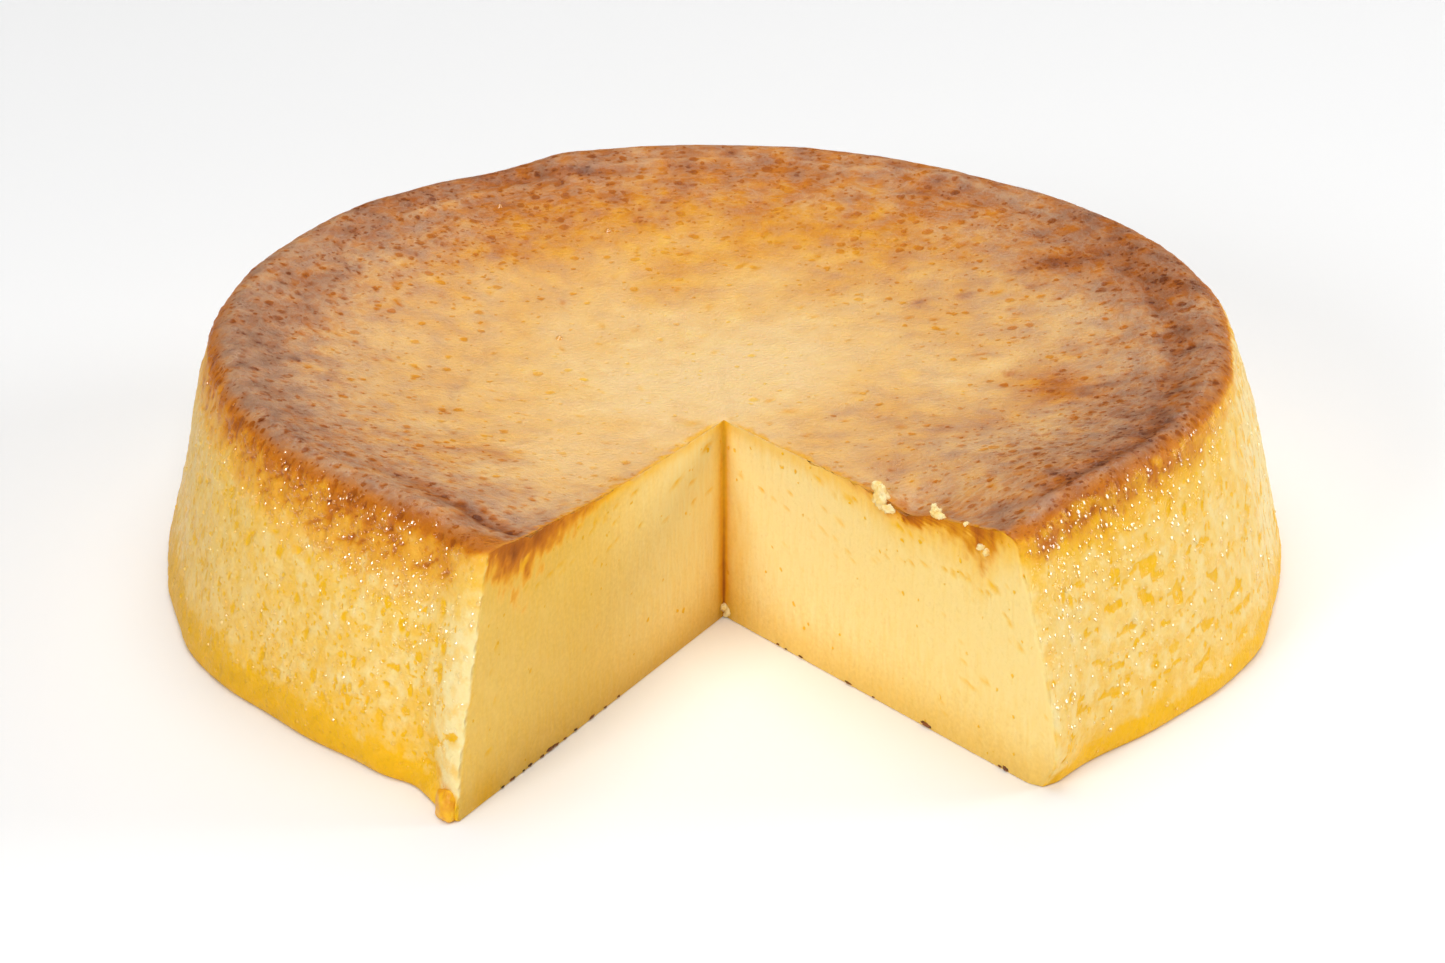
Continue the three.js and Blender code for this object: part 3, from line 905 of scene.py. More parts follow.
@dataclass(frozen=True)
class CutFace:
    """One face that the knife left: smooth custard, slanted bubbles, and a browned fringe on top."""

    side: Side
    # Distance from the apex, depth of the fringe, strength of its browning.
    fringe: Table
    # Bubbles: distance from the apex, height, half-length, half-height.
    bubbles: Table
    lean: float

    def dress(self, points: Array, run: Array, z: Array, below: Array) -> tuple[Array, Amounts]:
        """Relief and finish of a cut face.

        Args:
            points: places on the face, n by 3.
            run: their distance from the apex.
            z: their height.
            below: how far they lie below the top.

        Returns:
            How far each place moves out of the face, in millimetres, and the amounts.
        """
        on_left = self.side is Side.LEFT
        ripple, left = Ripple(51 if on_left else 52), 1 if on_left else 0
        right = 1 - left
        places, depth, strength = np.array(self.fringe).T
        depth, strength = np.interp(run, places, depth), np.interp(run, places, strength)
        streaky = ripple.at(points, (0.9, 0.9, 5))
        ragged = 0.5 * ripple.layered(points + 40, 3) + 0.5 * streaky
        sunk = below / (depth * np.clip(1 + 0.8 * ragged, 0.2, 2) + 0.05)
        browned = np.clip(strength * bell(sunk) * (1 + 0.35 * ragged), 0, 1)

        u, v = run + 0.25 * ripple.at(points, 1), z + 0.15 * ripple.at(points + 9, 1)
        bubble = np.zeros(len(points))
        for place, height, wide, tall in self.bubbles:
            bubble = np.maximum(bubble, Mark(place, height, wide, tall, self.lean).at(u, v, 4))
        small = Spots(53, 2.6, 0.22, 0.5, 0.6).depth(run, z, 0.16 + 0.2 * ease(55, 80, run))

        # Deep gold: syrup below the fringe and in bubbles, and painted shade where the cuts meet,
        # on the left-hand face, towards the foot, in the right-hand face's corner and by the lump at the
        # left tip.
        outer = ease(15, 60, run)
        fringe = 0.6 + 0.004 * run - 0.42 * left * ease(40, 60, run)
        fringe = np.clip(fringe * bell(below / (depth * 1.3 + 0.5 + 1.2 * right)), 0, 1)
        foot = 0.12 * left + 0.16 * falling(2, 26, z)
        tip = 0.7 * left * bell((run - 90) / 5) * bell(z / 5)
        corner = 0.35 * right * bell((run - 4) / 4.5) * falling(18, 34, z)
        soaked = fringe + 0.75 * bubble + 0.45 * small + 1 * bell(run / 1.3) + foot + tip + corner

        # Painted shade: a brown line where the cuts meet, and a duller gold
        # outside on the left, at the foot, along that line and under the fringe.
        meeting_shade = mixed(0.88, 0.6, ease(2, 34, z)) * (1 - 0.45 * ease(30, 42, z))
        meeting_shade = meeting_shade * bell(run / 1.25) * (0.15 + 0.85 * ease(1, 6, z))
        painted_shade = (
            left * outer * (0.14 + 0.14 * ease(10, 32, z))
            + (0.27 + 0.08 * left * (1 - outer)) * falling(0, 19, z) ** 2
            + (0.04 + 0.16 * left * (1 - outer)) * bell(z / 3)
            + (0.9 - 0.35 * ease(2, 34, z)) * bell(run / 1.6)
            + (0.08 + 0.08 * left) * bell(below / (depth * 1.5 + 1)) * ease(40, 60, run)
        )
        # Painted light: the faces are paler near the apex, where light bounces between them, and the
        # right-hand face,
        # the lit one, is paler all over; less pale towards the foot and darkest at the left foot are painted
        # shade.
        near = falling(15, 58, run) * ease(1.5, 6, run)
        amounts = blank(len(points)) | {
            Amount.BROWNED: np.clip(browned + meeting_shade, 0, 1),
            Amount.SOAKED: np.clip(soaked, 0, 1),
            Amount.PAINTED_SHADE: np.clip(painted_shade, 0, 1),
            Amount.PALE: mixed(0.6 + 0.4 * near, 0.9 * near, left) * (0.3 + 0.7 * ease(0, 12, z)),
            Amount.SCORCHED: (0.04 + 0.1 * left * (1 - outer)) * bell(z / 2),
            Amount.CUT: np.ones(len(points)),
            Amount.SPECKED: 0.03 + 0.07 * ease(22, 40, z),
            Amount.WET: np.full(len(points), 0.12),
        }
        relief = 0.05 * ripple.layered(points, 6) + 0.03 * streaky - 0.3 * bubble - 0.12 * small
        return relief, amounts


LEFT_FACE = CutFace(
    Side.LEFT,
    ((0, 0.9, 0.16), (20, 0.9, 0.18), (40, 1.3, 0.28), (50, 2.6, 0.44), (58, 3.8, 0.54), (66, 6, 0.68),
     (74, 7.8, 0.84), (82, 7, 0.78), (88, 3.8, 0.6), (96, 2, 0.35)),
    ((74.5, 43.7, 1.5, 1.4), (58.5, 42.3, 0.6, 0.5), (54.5, 42.5, 1, 0.5), (48.5, 41.2, 1, 0.9),
     (45, 40.5, 0.7, 0.5), (50, 40, 1, 0.35), (41, 41.5, 1.2, 0.5), (34, 41.3, 1.7, 0.5),
     (41.7, 38.2, 1, 0.4), (69.5, 37, 1, 0.35), (65, 37.3, 1.5, 0.35), (61.5, 37.8, 1, 0.5),
     (60.5, 36.1, 1, 0.4), (57.7, 36.2, 0.6, 0.35), (43.5, 33.6, 1, 0.4), (41.3, 34.3, 0.6, 0.4),
     (48.8, 33, 0.6, 0.4), (31.8, 33.7, 1, 0.4), (18, 37, 2.3, 0.6), (12.5, 34.5, 1.3, 0.4),
     (11.7, 30.1, 0.9, 0.5), (22.6, 30.8, 0.8, 0.35), (6.5, 39.8, 2, 0.7), (5.5, 30, 1.2, 0.35),
     (85.5, 19.5, 0.8, 0.5), (71.5, 17.9, 0.5, 0.4), (88, 10, 1.2, 0.4), (84.8, 30.3, 0.6, 1)),
    -12,
)
RIGHT_FACE = CutFace(
    Side.RIGHT,
    ((0, 0.8, 0.12), (20, 1, 0.18), (32, 1.2, 0.22), (42, 2, 0.4), (47, 2.8, 0.66), (52, 3.2, 0.76),
     (58, 3.2, 0.74), (63, 3.6, 0.62), (67, 4.6, 0.54), (72, 5.5, 0.58), (76, 7.5, 0.76),
     (79, 6.5, 0.68),
     (82, 4, 0.44), (85, 3, 0.3), (96, 1, 0.1)),
    ((29, 40.7, 1, 0.5), (33.5, 39.3, 0.6, 0.4), (38, 39.8, 1.2, 0.8), (40, 40.3, 0.8, 0.4),
     (52.5, 39.5, 1.5, 0.6), (56, 39.4, 0.7, 0.4), (60, 39.8, 0.6, 0.4), (20.3, 34.6, 0.8, 0.5),
     (35.5, 34.1, 1.3, 0.5), (31, 35, 0.7, 0.4), (5, 33, 0.8, 0.4), (11.5, 32, 0.8, 0.4),
     (15, 31.7, 0.7, 0.4), (19.2, 30.8, 0.7, 0.4), (25.5, 31, 0.5, 0.35), (30.5, 30.4, 1, 0.4),
     (34, 29.7, 0.6, 0.35), (37.4, 28.9, 0.8, 0.4), (27.7, 28, 0.5, 0.4), (39, 27.5, 1, 0.35),
     (45.5, 30, 0.6, 0.35), (47.2, 30.4, 0.5, 0.35), (49.5, 31.7, 0.7, 0.35), (52.5, 31.5, 0.5, 0.35),
     (54.8, 32.8, 0.6, 0.35), (56.6, 33.2, 0.6, 0.35), (60.5, 34.4, 1, 0.4), (66.3, 35.7, 0.8, 0.45),
     (68.7, 35.8, 0.7, 0.45), (71, 36.3, 1.3, 0.45), (72.8, 36.5, 0.5, 0.4), (76.2, 35.2, 0.6, 0.4),
     (80.2, 37, 1.5, 0.8), (78.5, 35.6, 0.8, 0.35), (84.8, 31.5, 1, 0.6), (83, 32.8, 0.8, 0.4),
     (87.8, 27.5, 1, 0.6), (78.3, 16.6, 0.8, 0.7), (72.5, 18.1, 0.6, 0.4), (74.5, 18.1, 0.5, 0.35),
     (72.5, 14.3, 0.8, 0.5), (74.8, 13.9, 1, 0.4), (71.5, 11, 0.5, 0.35)),
    -14,
)


@dataclass
class Piece:
    """A mesh to be: places in millimetres, triangles, amounts, and the way round it at its points."""

    points: Array
    triangles: Array
    amounts: Amounts
    along: Array | None = None

    def normals(self) -> Array:
        """Each point's outward normal: its triangles' cross products added up, then made unit length."""
        a, b, c = (self.points[self.triangles[:, k]] for k in range(3))
        cross = np.cross(b - a, c - a)
        total = np.stack(
            [sum(np.bincount(self.triangles[:, k], cross[:, axis], len(self.points)) for k in range(3))
             for axis in range(3)], axis=1,
        )
        return total / np.maximum(np.linalg.norm(total, axis=1, keepdims=True), 1e-12)

    def build(self, name: str, finish: bpy.types.Material) -> bpy.types.Object:
        """Puts the mesh into the scene, in metres, riding on the body.

        Args:
            name: the piece's name.
            finish: its material.

        Returns:
            The object.
        """
        mesh = bpy.data.meshes.new(name)
        mesh.vertices.add(len(self.points))
        mesh.loops.add(self.triangles.size)
        mesh.polygons.add(len(self.triangles))
        mesh.vertices.foreach_set("co", (self.points * MM).astype(np.float32).ravel())
        mesh.loops.foreach_set("vertex_index", self.triangles.astype(np.int32).ravel())
        mesh.polygons.foreach_set("loop_start", np.arange(0, self.triangles.size, 3, dtype=np.int32))
        mesh.polygons.foreach_set("use_smooth", np.ones(len(self.triangles), bool))
        for amount, values in self.amounts.items():
            attribute = mesh.attributes.new(amount.value, "FLOAT", "POINT")
            attribute.data.foreach_set("value", values.astype(np.float32))
        if self.along is not None:
            attribute = mesh.attributes.new("along", "FLOAT_VECTOR", "POINT")
            attribute.data.foreach_set("vector", (self.along * MM).astype(np.float32).ravel())
        mesh.materials.append(finish)
        mesh.update(calc_edges=True)
        mesh.validate()
        piece = bpy.data.objects.new(name, mesh)
        bpy.context.scene.collection.objects.link(piece)
        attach(piece, BODY)
        LOG.info("%s: %d points, %d triangles", name, len(self.points), len(self.triangles))
        return piece


@dataclass
class Custard:
    """The whole custard as one closed skin: wall, rim, top, base and the two cut faces.

    Stations run round it from the right-hand cut, past the back, to the left-hand cut. Rows run up the
    wall, over the rim and on towards the apex, and again from the foot towards the apex underneath.
    """

    form: FlanForm
    stations: int = 704
    wall_rows: int = 52
    foot_rows: int = 4
    rim_rows: int = 9
    inward_rows: int = 78
    # Rows inwards at which every other station ends, on the top and on the base.
    top_halvings: tuple[int, ...] = (32, 52, 64, 71, 75)
    base_halvings: tuple[int, ...] = (2, 4, 6, 8, 10, 12)
    # How far the cut edges draw in, how far the foot of the right-hand corner does and over what length.
    edge_round: float = 0.28
    corner_round: float = 1.4
    corner_reach: float = 5
    corner_height: float = 8
    # Relief of a cut face fades over this length at its edges, and over this much where the cuts meet.
    edge_fade: float = 1.2
    meeting_fade: tuple[float, float] = (0.2, 2)
    base_soaked: float = 0.7
    base_wet: float = 0.4

    def station_shares(self) -> Array:
        """Shares of the way round: close together at the cuts and along the front, wider at the back.

        Spacing is 1 in front and 2.1 at the back, a smooth step between, and a fifth at the cuts.
        """
        middle = (np.arange(self.stations) + 0.5) / self.stations
        from_cut = np.minimum(middle, 1 - middle)
        gap = 1 + 1.1 * ease(0.27, 0.4, from_cut)
        gap = gap * (0.35 + 0.65 * ease(0, 0.006, from_cut))
        return np.concatenate([[0], np.cumsum(gap) / gap.sum()])

    def profile(self) -> tuple[Array, Array, Array]:
        """Radii, heights and turn-over (0 on the wall, 1 on the crest) of the rows, from foot to crest."""
        form = self.form
        quarter = np.linspace(0, math.pi / 2, self.foot_rows + 1)[:-1]
        foot_z = form.foot_height * (1 - np.cos(quarter))
        foot_r = form.even_radius(foot_z) - form.foot_tuck * (1 - np.sin(quarter))
        wall_z = np.linspace(form.foot_height, form.wall_top, self.wall_rows + 1)[:-1]
        over = np.linspace(0, math.pi / 2, self.rim_rows + 1)
        rim_z = form.wall_top + (form.rim_height - form.wall_top) * np.sin(over)
        rim_r = form.crest + form.rim_round * np.cos(over)
        radii = np.concatenate([foot_r, form.even_radius(wall_z), rim_r])
        heights = np.concatenate([foot_z, wall_z, rim_z])
        over_all = np.concatenate([np.zeros(len(foot_z) + len(wall_z)), over / (math.pi / 2)])
        return radii, heights, over_all

    def inward_shares(self) -> Array:
        """Shares of the way left to the apex, from 1 at the crest to 0, closest together at the rim."""
        gap = 1 + 0.75 * ease(0, 0.45, (np.arange(self.inward_rows) + 0.5) / self.inward_rows)
        gap[0] *= 0.6
        return 1 - np.concatenate([[0], np.cumsum(gap) / gap.sum()])

    def rings(
        self, first: Array, start: int, halvings: tuple[int, ...]
    ) -> tuple[list[Array], list[Array], int]:
        """Point numbers and station picks of the rows that run from a ring in to the apex.

        Args:
            first: the outer ring's point numbers.
            start: the next free point number.
            halvings: rows at which every other station ends.

        Returns:
            The rings' point numbers, the stations that each uses, and the apex's point number.
        """
        numbers, picks, pick = [first], [np.arange(len(first))], np.arange(len(first))
        for row in range(1, self.inward_rows):
            if row in halvings:
                pick = pick[::2]
            numbers.append(np.arange(start, start + len(pick)))
            picks.append(pick)
            start += len(pick)
        return numbers, picks, start

    @staticmethod
    def stitch(outer: Array, inner: Array) -> Array:
        """Triangles between two neighbouring rings of equal count, or with half the stations inside."""
        if len(outer) == len(inner):
            a, b, c, d = outer[:-1], outer[1:], inner[1:], inner[:-1]
            return np.concatenate([np.stack([a, b, c], 1), np.stack([a, c, d], 1)])
        a, m, b, c, d = outer[:-1:2], outer[1::2], outer[2::2], inner[1:], inner[:-1]
        return np.concatenate([np.stack([a, m, d], 1), np.stack([m, c, d], 1), np.stack([m, b, c], 1)])

    def fan(self, rings: list[Array], apex: int) -> Array:
        """All triangles from the outer ring in to the apex."""
        parts = [self.stitch(a, b) for a, b in zip(rings, rings[1:])]
        last = rings[-1]
        parts.append(np.stack([last[:-1], last[1:], np.full(len(last) - 1, apex)], 1))
        return np.concatenate(parts)

    def toward_apex(self, ring: Array, picks: list[Array], inward: Array) -> Array:
        """Places in plan, row by row, on the straight lines from a ring to the apex, and the apex."""
        apex = np.array(self.form.apex)
        rows = [mixed(apex, ring[pick, :2], share) for pick, share in zip(picks[1:], inward[1:-1])]
        return np.concatenate(rows + [apex[None, :]])

    def outside(self, radii: Array, heights: Array, over: Array) -> tuple[Array, Array, Amounts]:
        """The wall and rim, which relief moves along level rays from the apex, and the crest straight up.

        Args:
            radii: each row's radius on the even profile.
            heights: its height.
            over: how far it has turned over, 0 on the wall and 1 on the crest.

        Returns:
            The places without relief in rows, those with it in a list, and their amounts.
        """
        form, each = self.form, self.stations + 1
        right, left = (
            np.array([form.cut_azimuth(r, z, side) for r, z in zip(radii, heights)])
            for side in (Side.RIGHT, Side.LEFT)
        )
        azimuth = mixed(right[:, None], left[:, None] + 2 * math.pi, self.station_shares()[None, :])
        plain = form.place(azimuth, radii[:, None], heights[:, None])
        flat = plain.reshape(-1, 3)
        wall_relief, wall = WallSkin(form).dress(flat, azimuth.ravel(), np.repeat(heights, each))
        top_relief, top = TopSkin(form).dress(flat)
        turned = np.repeat(over, each)
        on_top, tilt = ease(0.3, 0.85, turned), turned * math.pi / 2
        relief = mixed(wall_relief, top_relief, on_top)
        level = unit(flat[:, :2] - np.array(form.apex)) * np.cos(tilt)[:, None]
        moved = flat + relief[:, None] * np.column_stack([level, np.sin(tilt)])
        return plain, moved, {a: mixed(wall[a], top[a], on_top) for a in Amount}

    def wear(self, piece: Piece, edges: Array, corner: Array) -> None:
        """Tears the cut edges a little, and rounds the foot of the right-hand corner off.

        Edge points draw in against the normal by a length times noise. Places near the corner in plan
        draw in against its mean normal, less and less outwards and upwards.

        Args:
            piece: the custard, which it changes.
            edges: point numbers along the cut edges.
            corner: point numbers of the corner, upwards from the foot.
        """
        torn = np.clip(1 + 2.4 * Ripple(81).layered(piece.points[edges], 1.9), 0, 3.2)
        piece.points[edges] -= self.edge_round * torn[:, None] * piece.normals()[edges]
        out = piece.normals()[corner, :2].mean(axis=0)
        away = np.linalg.norm(piece.points[:, :2] - piece.points[corner[0], :2], axis=1)
        near = falling(0, self.corner_reach, away) * bell(piece.points[:, 2] / self.corner_height)
        piece.points[:, :2] -= self.corner_round * near[:, None] * out / np.linalg.norm(out)

    def piece(self) -> Piece:
        """Works out every point, triangle and amount.

        Returns:
            The closed piece.
        """
        form = self.form
        radii, heights, over = self.profile()
        rows, inward = len(radii), self.inward_shares()
        plain, moved, amounts = self.outside(radii, heights, over)
        numbers = np.arange(len(moved)).reshape(rows, -1)

        # The top: straight lines in plan from the crest to the apex, laid on the sunken form.
        top_rings, picks, top_apex = self.rings(numbers[-1], numbers.size, self.top_halvings)
        plan = self.toward_apex(plain[-1], picks, inward)
        top = np.column_stack([plan, form.top_height(plan[:, 0], plan[:, 1])])
        relief, top_amounts = TopSkin(form).dress(top)
        top[:, 2] += relief

        # The base: flat, with the same rows.
        base_rings, picks, base_apex = self.rings(numbers[0], top_apex + 1, self.base_halvings)
        plan = self.toward_apex(plain[0], picks, inward)
        base = np.column_stack([plan, np.zeros(len(plan))])
        base_amounts = blank(len(base))
        base_amounts[Amount.SOAKED] += self.base_soaked
        base_amounts[Amount.WET] += self.base_wet

        # The line where the two cuts meet, shared by both faces: painted shade, deep gold and brown in that
        # inner corner.
        share_up = np.clip(heights / form.rim_height, 0, 1)
        share_up[-1] = 1
        inner = rows - 2
        upright = np.column_stack([np.tile(form.apex, (inner, 1)), share_up[1:-1] * top[-1, 2]])
        line = np.array([base_apex, *range(base_apex + 1, base_apex + 1 + inner), top_apex])
        line_amounts = blank(inner) | {
            Amount.SOAKED: np.ones(inner), Amount.PAINTED_SHADE: np.full(inner, 0.7), Amount.CUT: np.ones(inner),
            Amount.BROWNED: mixed(0.8, 0.35, ease(2, 42, upright[:, 2])),
        }
        points = np.concatenate([moved, top, base, upright])
        amounts = joined(amounts, top_amounts, base_amounts, line_amounts)

        triangles = [self.stitch(a, b) for a, b in zip(numbers, numbers[1:])]
        triangles.append(self.fan(top_rings, top_apex))
        triangles.append(self.fan(base_rings, base_apex)[:, ::-1])
        for face, end in ((RIGHT_FACE, 0), (LEFT_FACE, -1)):
            grid = np.zeros((self.inward_rows + 1, rows), int)
            grid[0], grid[-1] = numbers[:, end], line
            grid[1:-1, -1] = [ring[end] for ring in top_rings[1:]]
            grid[1:-1, 0] = [ring[end] for ring in base_rings[1:]]
            inside = grid[1:-1, 1:-1]
            inside[:] = len(points) + np.arange(inside.size).reshape(inside.shape)
            added, more = self.cut_face(face, points, grid, inward, share_up)
            points, amounts = np.concatenate([points, added]), joined(amounts, more)
            patch = np.concatenate([self.stitch(a, b) for a, b in zip(grid, grid[1:])])
            triangles.append(patch if face.side is Side.RIGHT else patch[:, ::-1])

        azimuth = np.arctan2(points[:, 0], -points[:, 1])
        azimuth = azimuth + np.where(azimuth < mixed(form.left_cut, form.right_cut, 0.5), 2 * math.pi, 0)
        along = np.column_stack([azimuth * 95, np.hypot(points[:, 0], points[:, 1]), points[:, 2]])
        piece = Piece(points, np.concatenate(triangles), amounts, along)
        edges = [numbers[1:, 0], numbers[1:, -1], [r[0] for r in top_rings], [r[-1] for r in top_rings]]
        self.wear(piece, np.unique(np.concatenate(edges)), numbers[3:12, 0])
        return piece

    def cut_face(
        self, face: CutFace, points: Array, grid: Array, inward: Array, share_up: Array
    ) -> tuple[Array, Amounts]:
        """Points inside a cut face, spread evenly between its four edges.

        Each point is the mean of its ends across, plus the mean of its ends up, less the mean of the
        four corners. Relief then moves it out of the face, and fades at the edges.

        Args:
            face: the face's own features.
            points: the points so far.
            grid: point numbers, from the wall in to the apex line, and from the base up.
            inward: shares of the way left to the apex.
            share_up: shares of the way up.

        Returns:
            The added points and their amounts.
        """
        d = self.form.direction(face.side)
        run = (points[:, :2] - np.array(self.form.apex)) @ d
        edge = np.stack([run, points[:, 2]], axis=1)
        outer, inner = edge[grid[0]], edge[grid[-1]]
        low, high = edge[grid[:, 0]], edge[grid[:, -1]]
        u, v = (1 - inward)[:, None, None], share_up[None, :, None]
        across = outer[None] * (1 - u) + inner[None] * u
        up = low[:, None] * (1 - v) + high[:, None] * v
        corners = (
            outer[0] * (1 - u) * (1 - v) + inner[0] * u * (1 - v)
            + outer[-1] * (1 - u) * v + inner[-1] * u * v
        )
        inside = (across + up - corners)[1:-1, 1:-1]
        run, z = inside[..., 0].ravel(), inside[..., 1].ravel()
        top = np.interp(run, high[::-1, 0], high[::-1, 1])
        place = np.column_stack([np.array(self.form.apex) + run[:, None] * d, z])
        relief, amounts = face.dress(place, run, z, np.maximum(top - z, 0))
        from_wall = np.tile(outer[1:-1, 0], len(inside)) - run
        fade = ease(0, self.edge_fade, top - z) * ease(0, self.edge_fade, z)
        fade = fade * ease(*self.meeting_fade, run) * ease(0, self.edge_fade, from_wall)
        place[:, :2] += (relief * fade)[:, None] * self.form.outward(face.side)
        return place, amounts


def ball_grid(rings: int, spokes: int) -> tuple[Array, Array]:
    """A unit ball on a grid of two angles, closed by a fan at each pole.

    A point at polar angle p and turn a lies at (sin p cos a, sin p sin a, cos p).

    Args:
        rings: rings of points between the poles.
        spokes: points on a ring.

    Returns:
        The directions, n by 3, and the triangles.
    """
    polar = np.linspace(0, math.pi, rings + 2)[1:-1, None]
    spin = np.linspace(0, 2 * math.pi, spokes, endpoint=False)[None, :]
    level = np.broadcast_to(np.cos(polar), (rings, spokes))
    middle = np.stack([np.sin(polar) * np.cos(spin), np.sin(polar) * np.sin(spin), level], axis=-1)
    directions = np.concatenate([[[0, 0, 1]], middle.reshape(-1, 3), [[0, 0, -1]]])
    grid = 1 + np.arange(rings * spokes).reshape(rings, spokes)
    beside = np.roll(grid, -1, axis=1)
    a, b, c, d = (g.ravel() for g in (grid[:-1], grid[1:], beside[1:], beside[:-1]))
    first, last = np.zeros(spokes, int), np.full(spokes, rings * spokes + 1)
    triangles = np.concatenate([
        np.stack([a, b, c], 1), np.stack([a, c, d], 1),
        np.stack([first, grid[0], beside[0]], 1), np.stack([last, beside[-1], grid[-1]], 1),
    ])
    return directions, triangles


@dataclass(frozen=True)
class Scatter:
    """Many small closed bodies in one mesh, each a ball stretched along its own three axes."""

    centres: Array
    halves: Array
    axes: Array
    rough: float
    seed: int

    def piece(self, rings: int, spokes: int, floor: float | None = None) -> Piece:
        """Works out the bodies: centre plus (ball point times half-size) along each axis, made uneven.

        Args:
            rings: rings of points on a body.
            spokes: points on a ring.
            floor: the lowest height that a point may have.

        Returns:
            The mesh to be.
        """
        ball, faces = ball_grid(rings, spokes)
        count = len(self.centres)
        shift = np.arange(count)[:, None, None] * 7.31
        seeds = (ball[None] * 1.7 + shift).reshape(-1, 3)
        swell = 1 + self.rough * Ripple(self.seed).layered(seeds, 1, 3).reshape(count, -1, 1)
        local = ball[None] * self.halves[:, None, :] * swell
        points = self.centres[:, None, :] + np.einsum("bnk,bkj->bnj", local, self.axes)
        if floor is not None:
            points[..., 2] = np.maximum(points[..., 2], floor)
        offsets = (np.arange(count) * len(ball))[:, None, None]
        return Piece(points.reshape(-1, 3), (faces[None] + offsets).reshape(-1, 3), {})


@dataclass(frozen=True)
class TornLump:
    """The lump of soaked custard that stuck to the foot of the left-hand tip when it was turned out."""

    azimuth: float = -25
    reach: float = 120.6
    height: float = 2.4
    half: tuple[float, float, float] = (2.45, 2.9, 3.7)
    # The planes that it broke along: their directions and distances, as shares of the half-sizes.
    breaks: Table = (
        (-0.25, -0.9, 0.35, 0.72), (0.6, -0.75, 0.15, 0.74), (0.3, -0.6, 0.8, 0.8),
        (-0.85, -0.3, 0.1, 0.84), (-0.55, -0.45, 0.75, 0.82), (0.9, 0.1, 0.3, 0.8), (0, 0.2, 1, 0.86),
        (-0.3, 0.95, 0, 0.9), (0.55, -0.45, -0.7, 0.88), (-0.5, -0.6, -0.65, 0.9), (0.3, 0.9, 0.3, 0.9),
        (0, 0, -1, 0.9),
    )
    # How sharp the ridges between the planes are: a higher power, a sharper ridge.
    sharpness: float = 14
    farthest: float = 1.25
    rings: int = 44
    spokes: int = 60

    def build(self, finish: bpy.types.Material) -> bpy.types.Object:
        """A chunk within planes: its reach is 1 over the power norm of (direction . plane / distance)."""
        ball, faces = ball_grid(self.rings, self.spokes)
        planes = np.array(self.breaks)
        near = np.clip(ball @ unit(planes[:, :3]).T / planes[:, 3], 0, None)
        reach = np.sum(near ** self.sharpness, axis=1) ** (-1 / self.sharpness)
        uneven = 1 + 0.05 * Ripple(71).layered(ball * 3, 1, 4)
        turned = math.radians(self.azimuth)
        middle = np.array([self.reach * math.sin(turned), -self.reach * math.cos(turned), self.height])
        out = np.minimum(reach, self.farthest) * uneven
        points = middle + ball * out[:, None] * np.array(self.half)
        points[:, 2] = np.maximum(points[:, 2], 0)
        return Piece(points, faces, {}).build("torn_lump", finish)


@dataclass(frozen=True)
class Crumbs:
    """Crumbs that the knife lifted out: on the edge of the right-hand cut, and one where the cuts meet."""

    form: FlanForm
    # Distance from the apex, way out of the right-hand face, height, half-sizes, spin in degrees.
    bodies: Table = (
        (47.4, 0.2, 44.4, 1.5, 1.3, 2.3, 10), (48.4, 0.3, 43.4, 1.7, 1.2, 1.5, 50),
        (46.6, 0.2, 46, 1, 0.9, 1, 20), (50.4, 0.4, 42.6, 1.4, 0.8, 0.9, -20),
        (62.9, -0.4, 46.4, 1.1, 0.9, 0.9, 30), (64.2, -0.2, 46, 1.2, 0.7, 0.6, -30),
        (62.3, -0.5, 47.2, 0.6, 0.6, 0.7, 0), (76.6, 0.2, 44.4, 0.9, 0.7, 0.6, 0),
        (78.2, 0.1, 43.9, 0.9, 0.6, 0.7, 40), (71.8, -0.3, 47.2, 0.6, 0.5, 0.45, 0),
        (1.2, -0.6, 1.2, 1.3, 0.9, 1.4, 0), (0.6, 0.3, 2.2, 0.9, 0.8, 0.8, 0),
    )
    rings: int = 20
    spokes: int = 28

    def build(self, finish: bpy.types.Material) -> bpy.types.Object:
        """Small craggy bodies, each turned about the upright."""
        along, out = self.form.direction(Side.RIGHT), self.form.outward(Side.RIGHT)
        table = np.array(self.bodies)
        plan = np.array(self.form.apex) + table[:, :1] * along + table[:, 1:2] * out
        c, s, zero = np.cos(np.radians(table[:, 6])), np.sin(np.radians(table[:, 6])), np.zeros(len(table))
        axes = np.array([[c, s, zero], [-s, c, zero], [zero, zero, zero + 1]]).transpose(2, 0, 1)
        bodies = Scatter(np.column_stack([plan, table[:, 2]]), table[:, 3:6], axes, 0.34, 72)
        return bodies.piece(self.rings, self.spokes, 0).build("crumbs", finish)


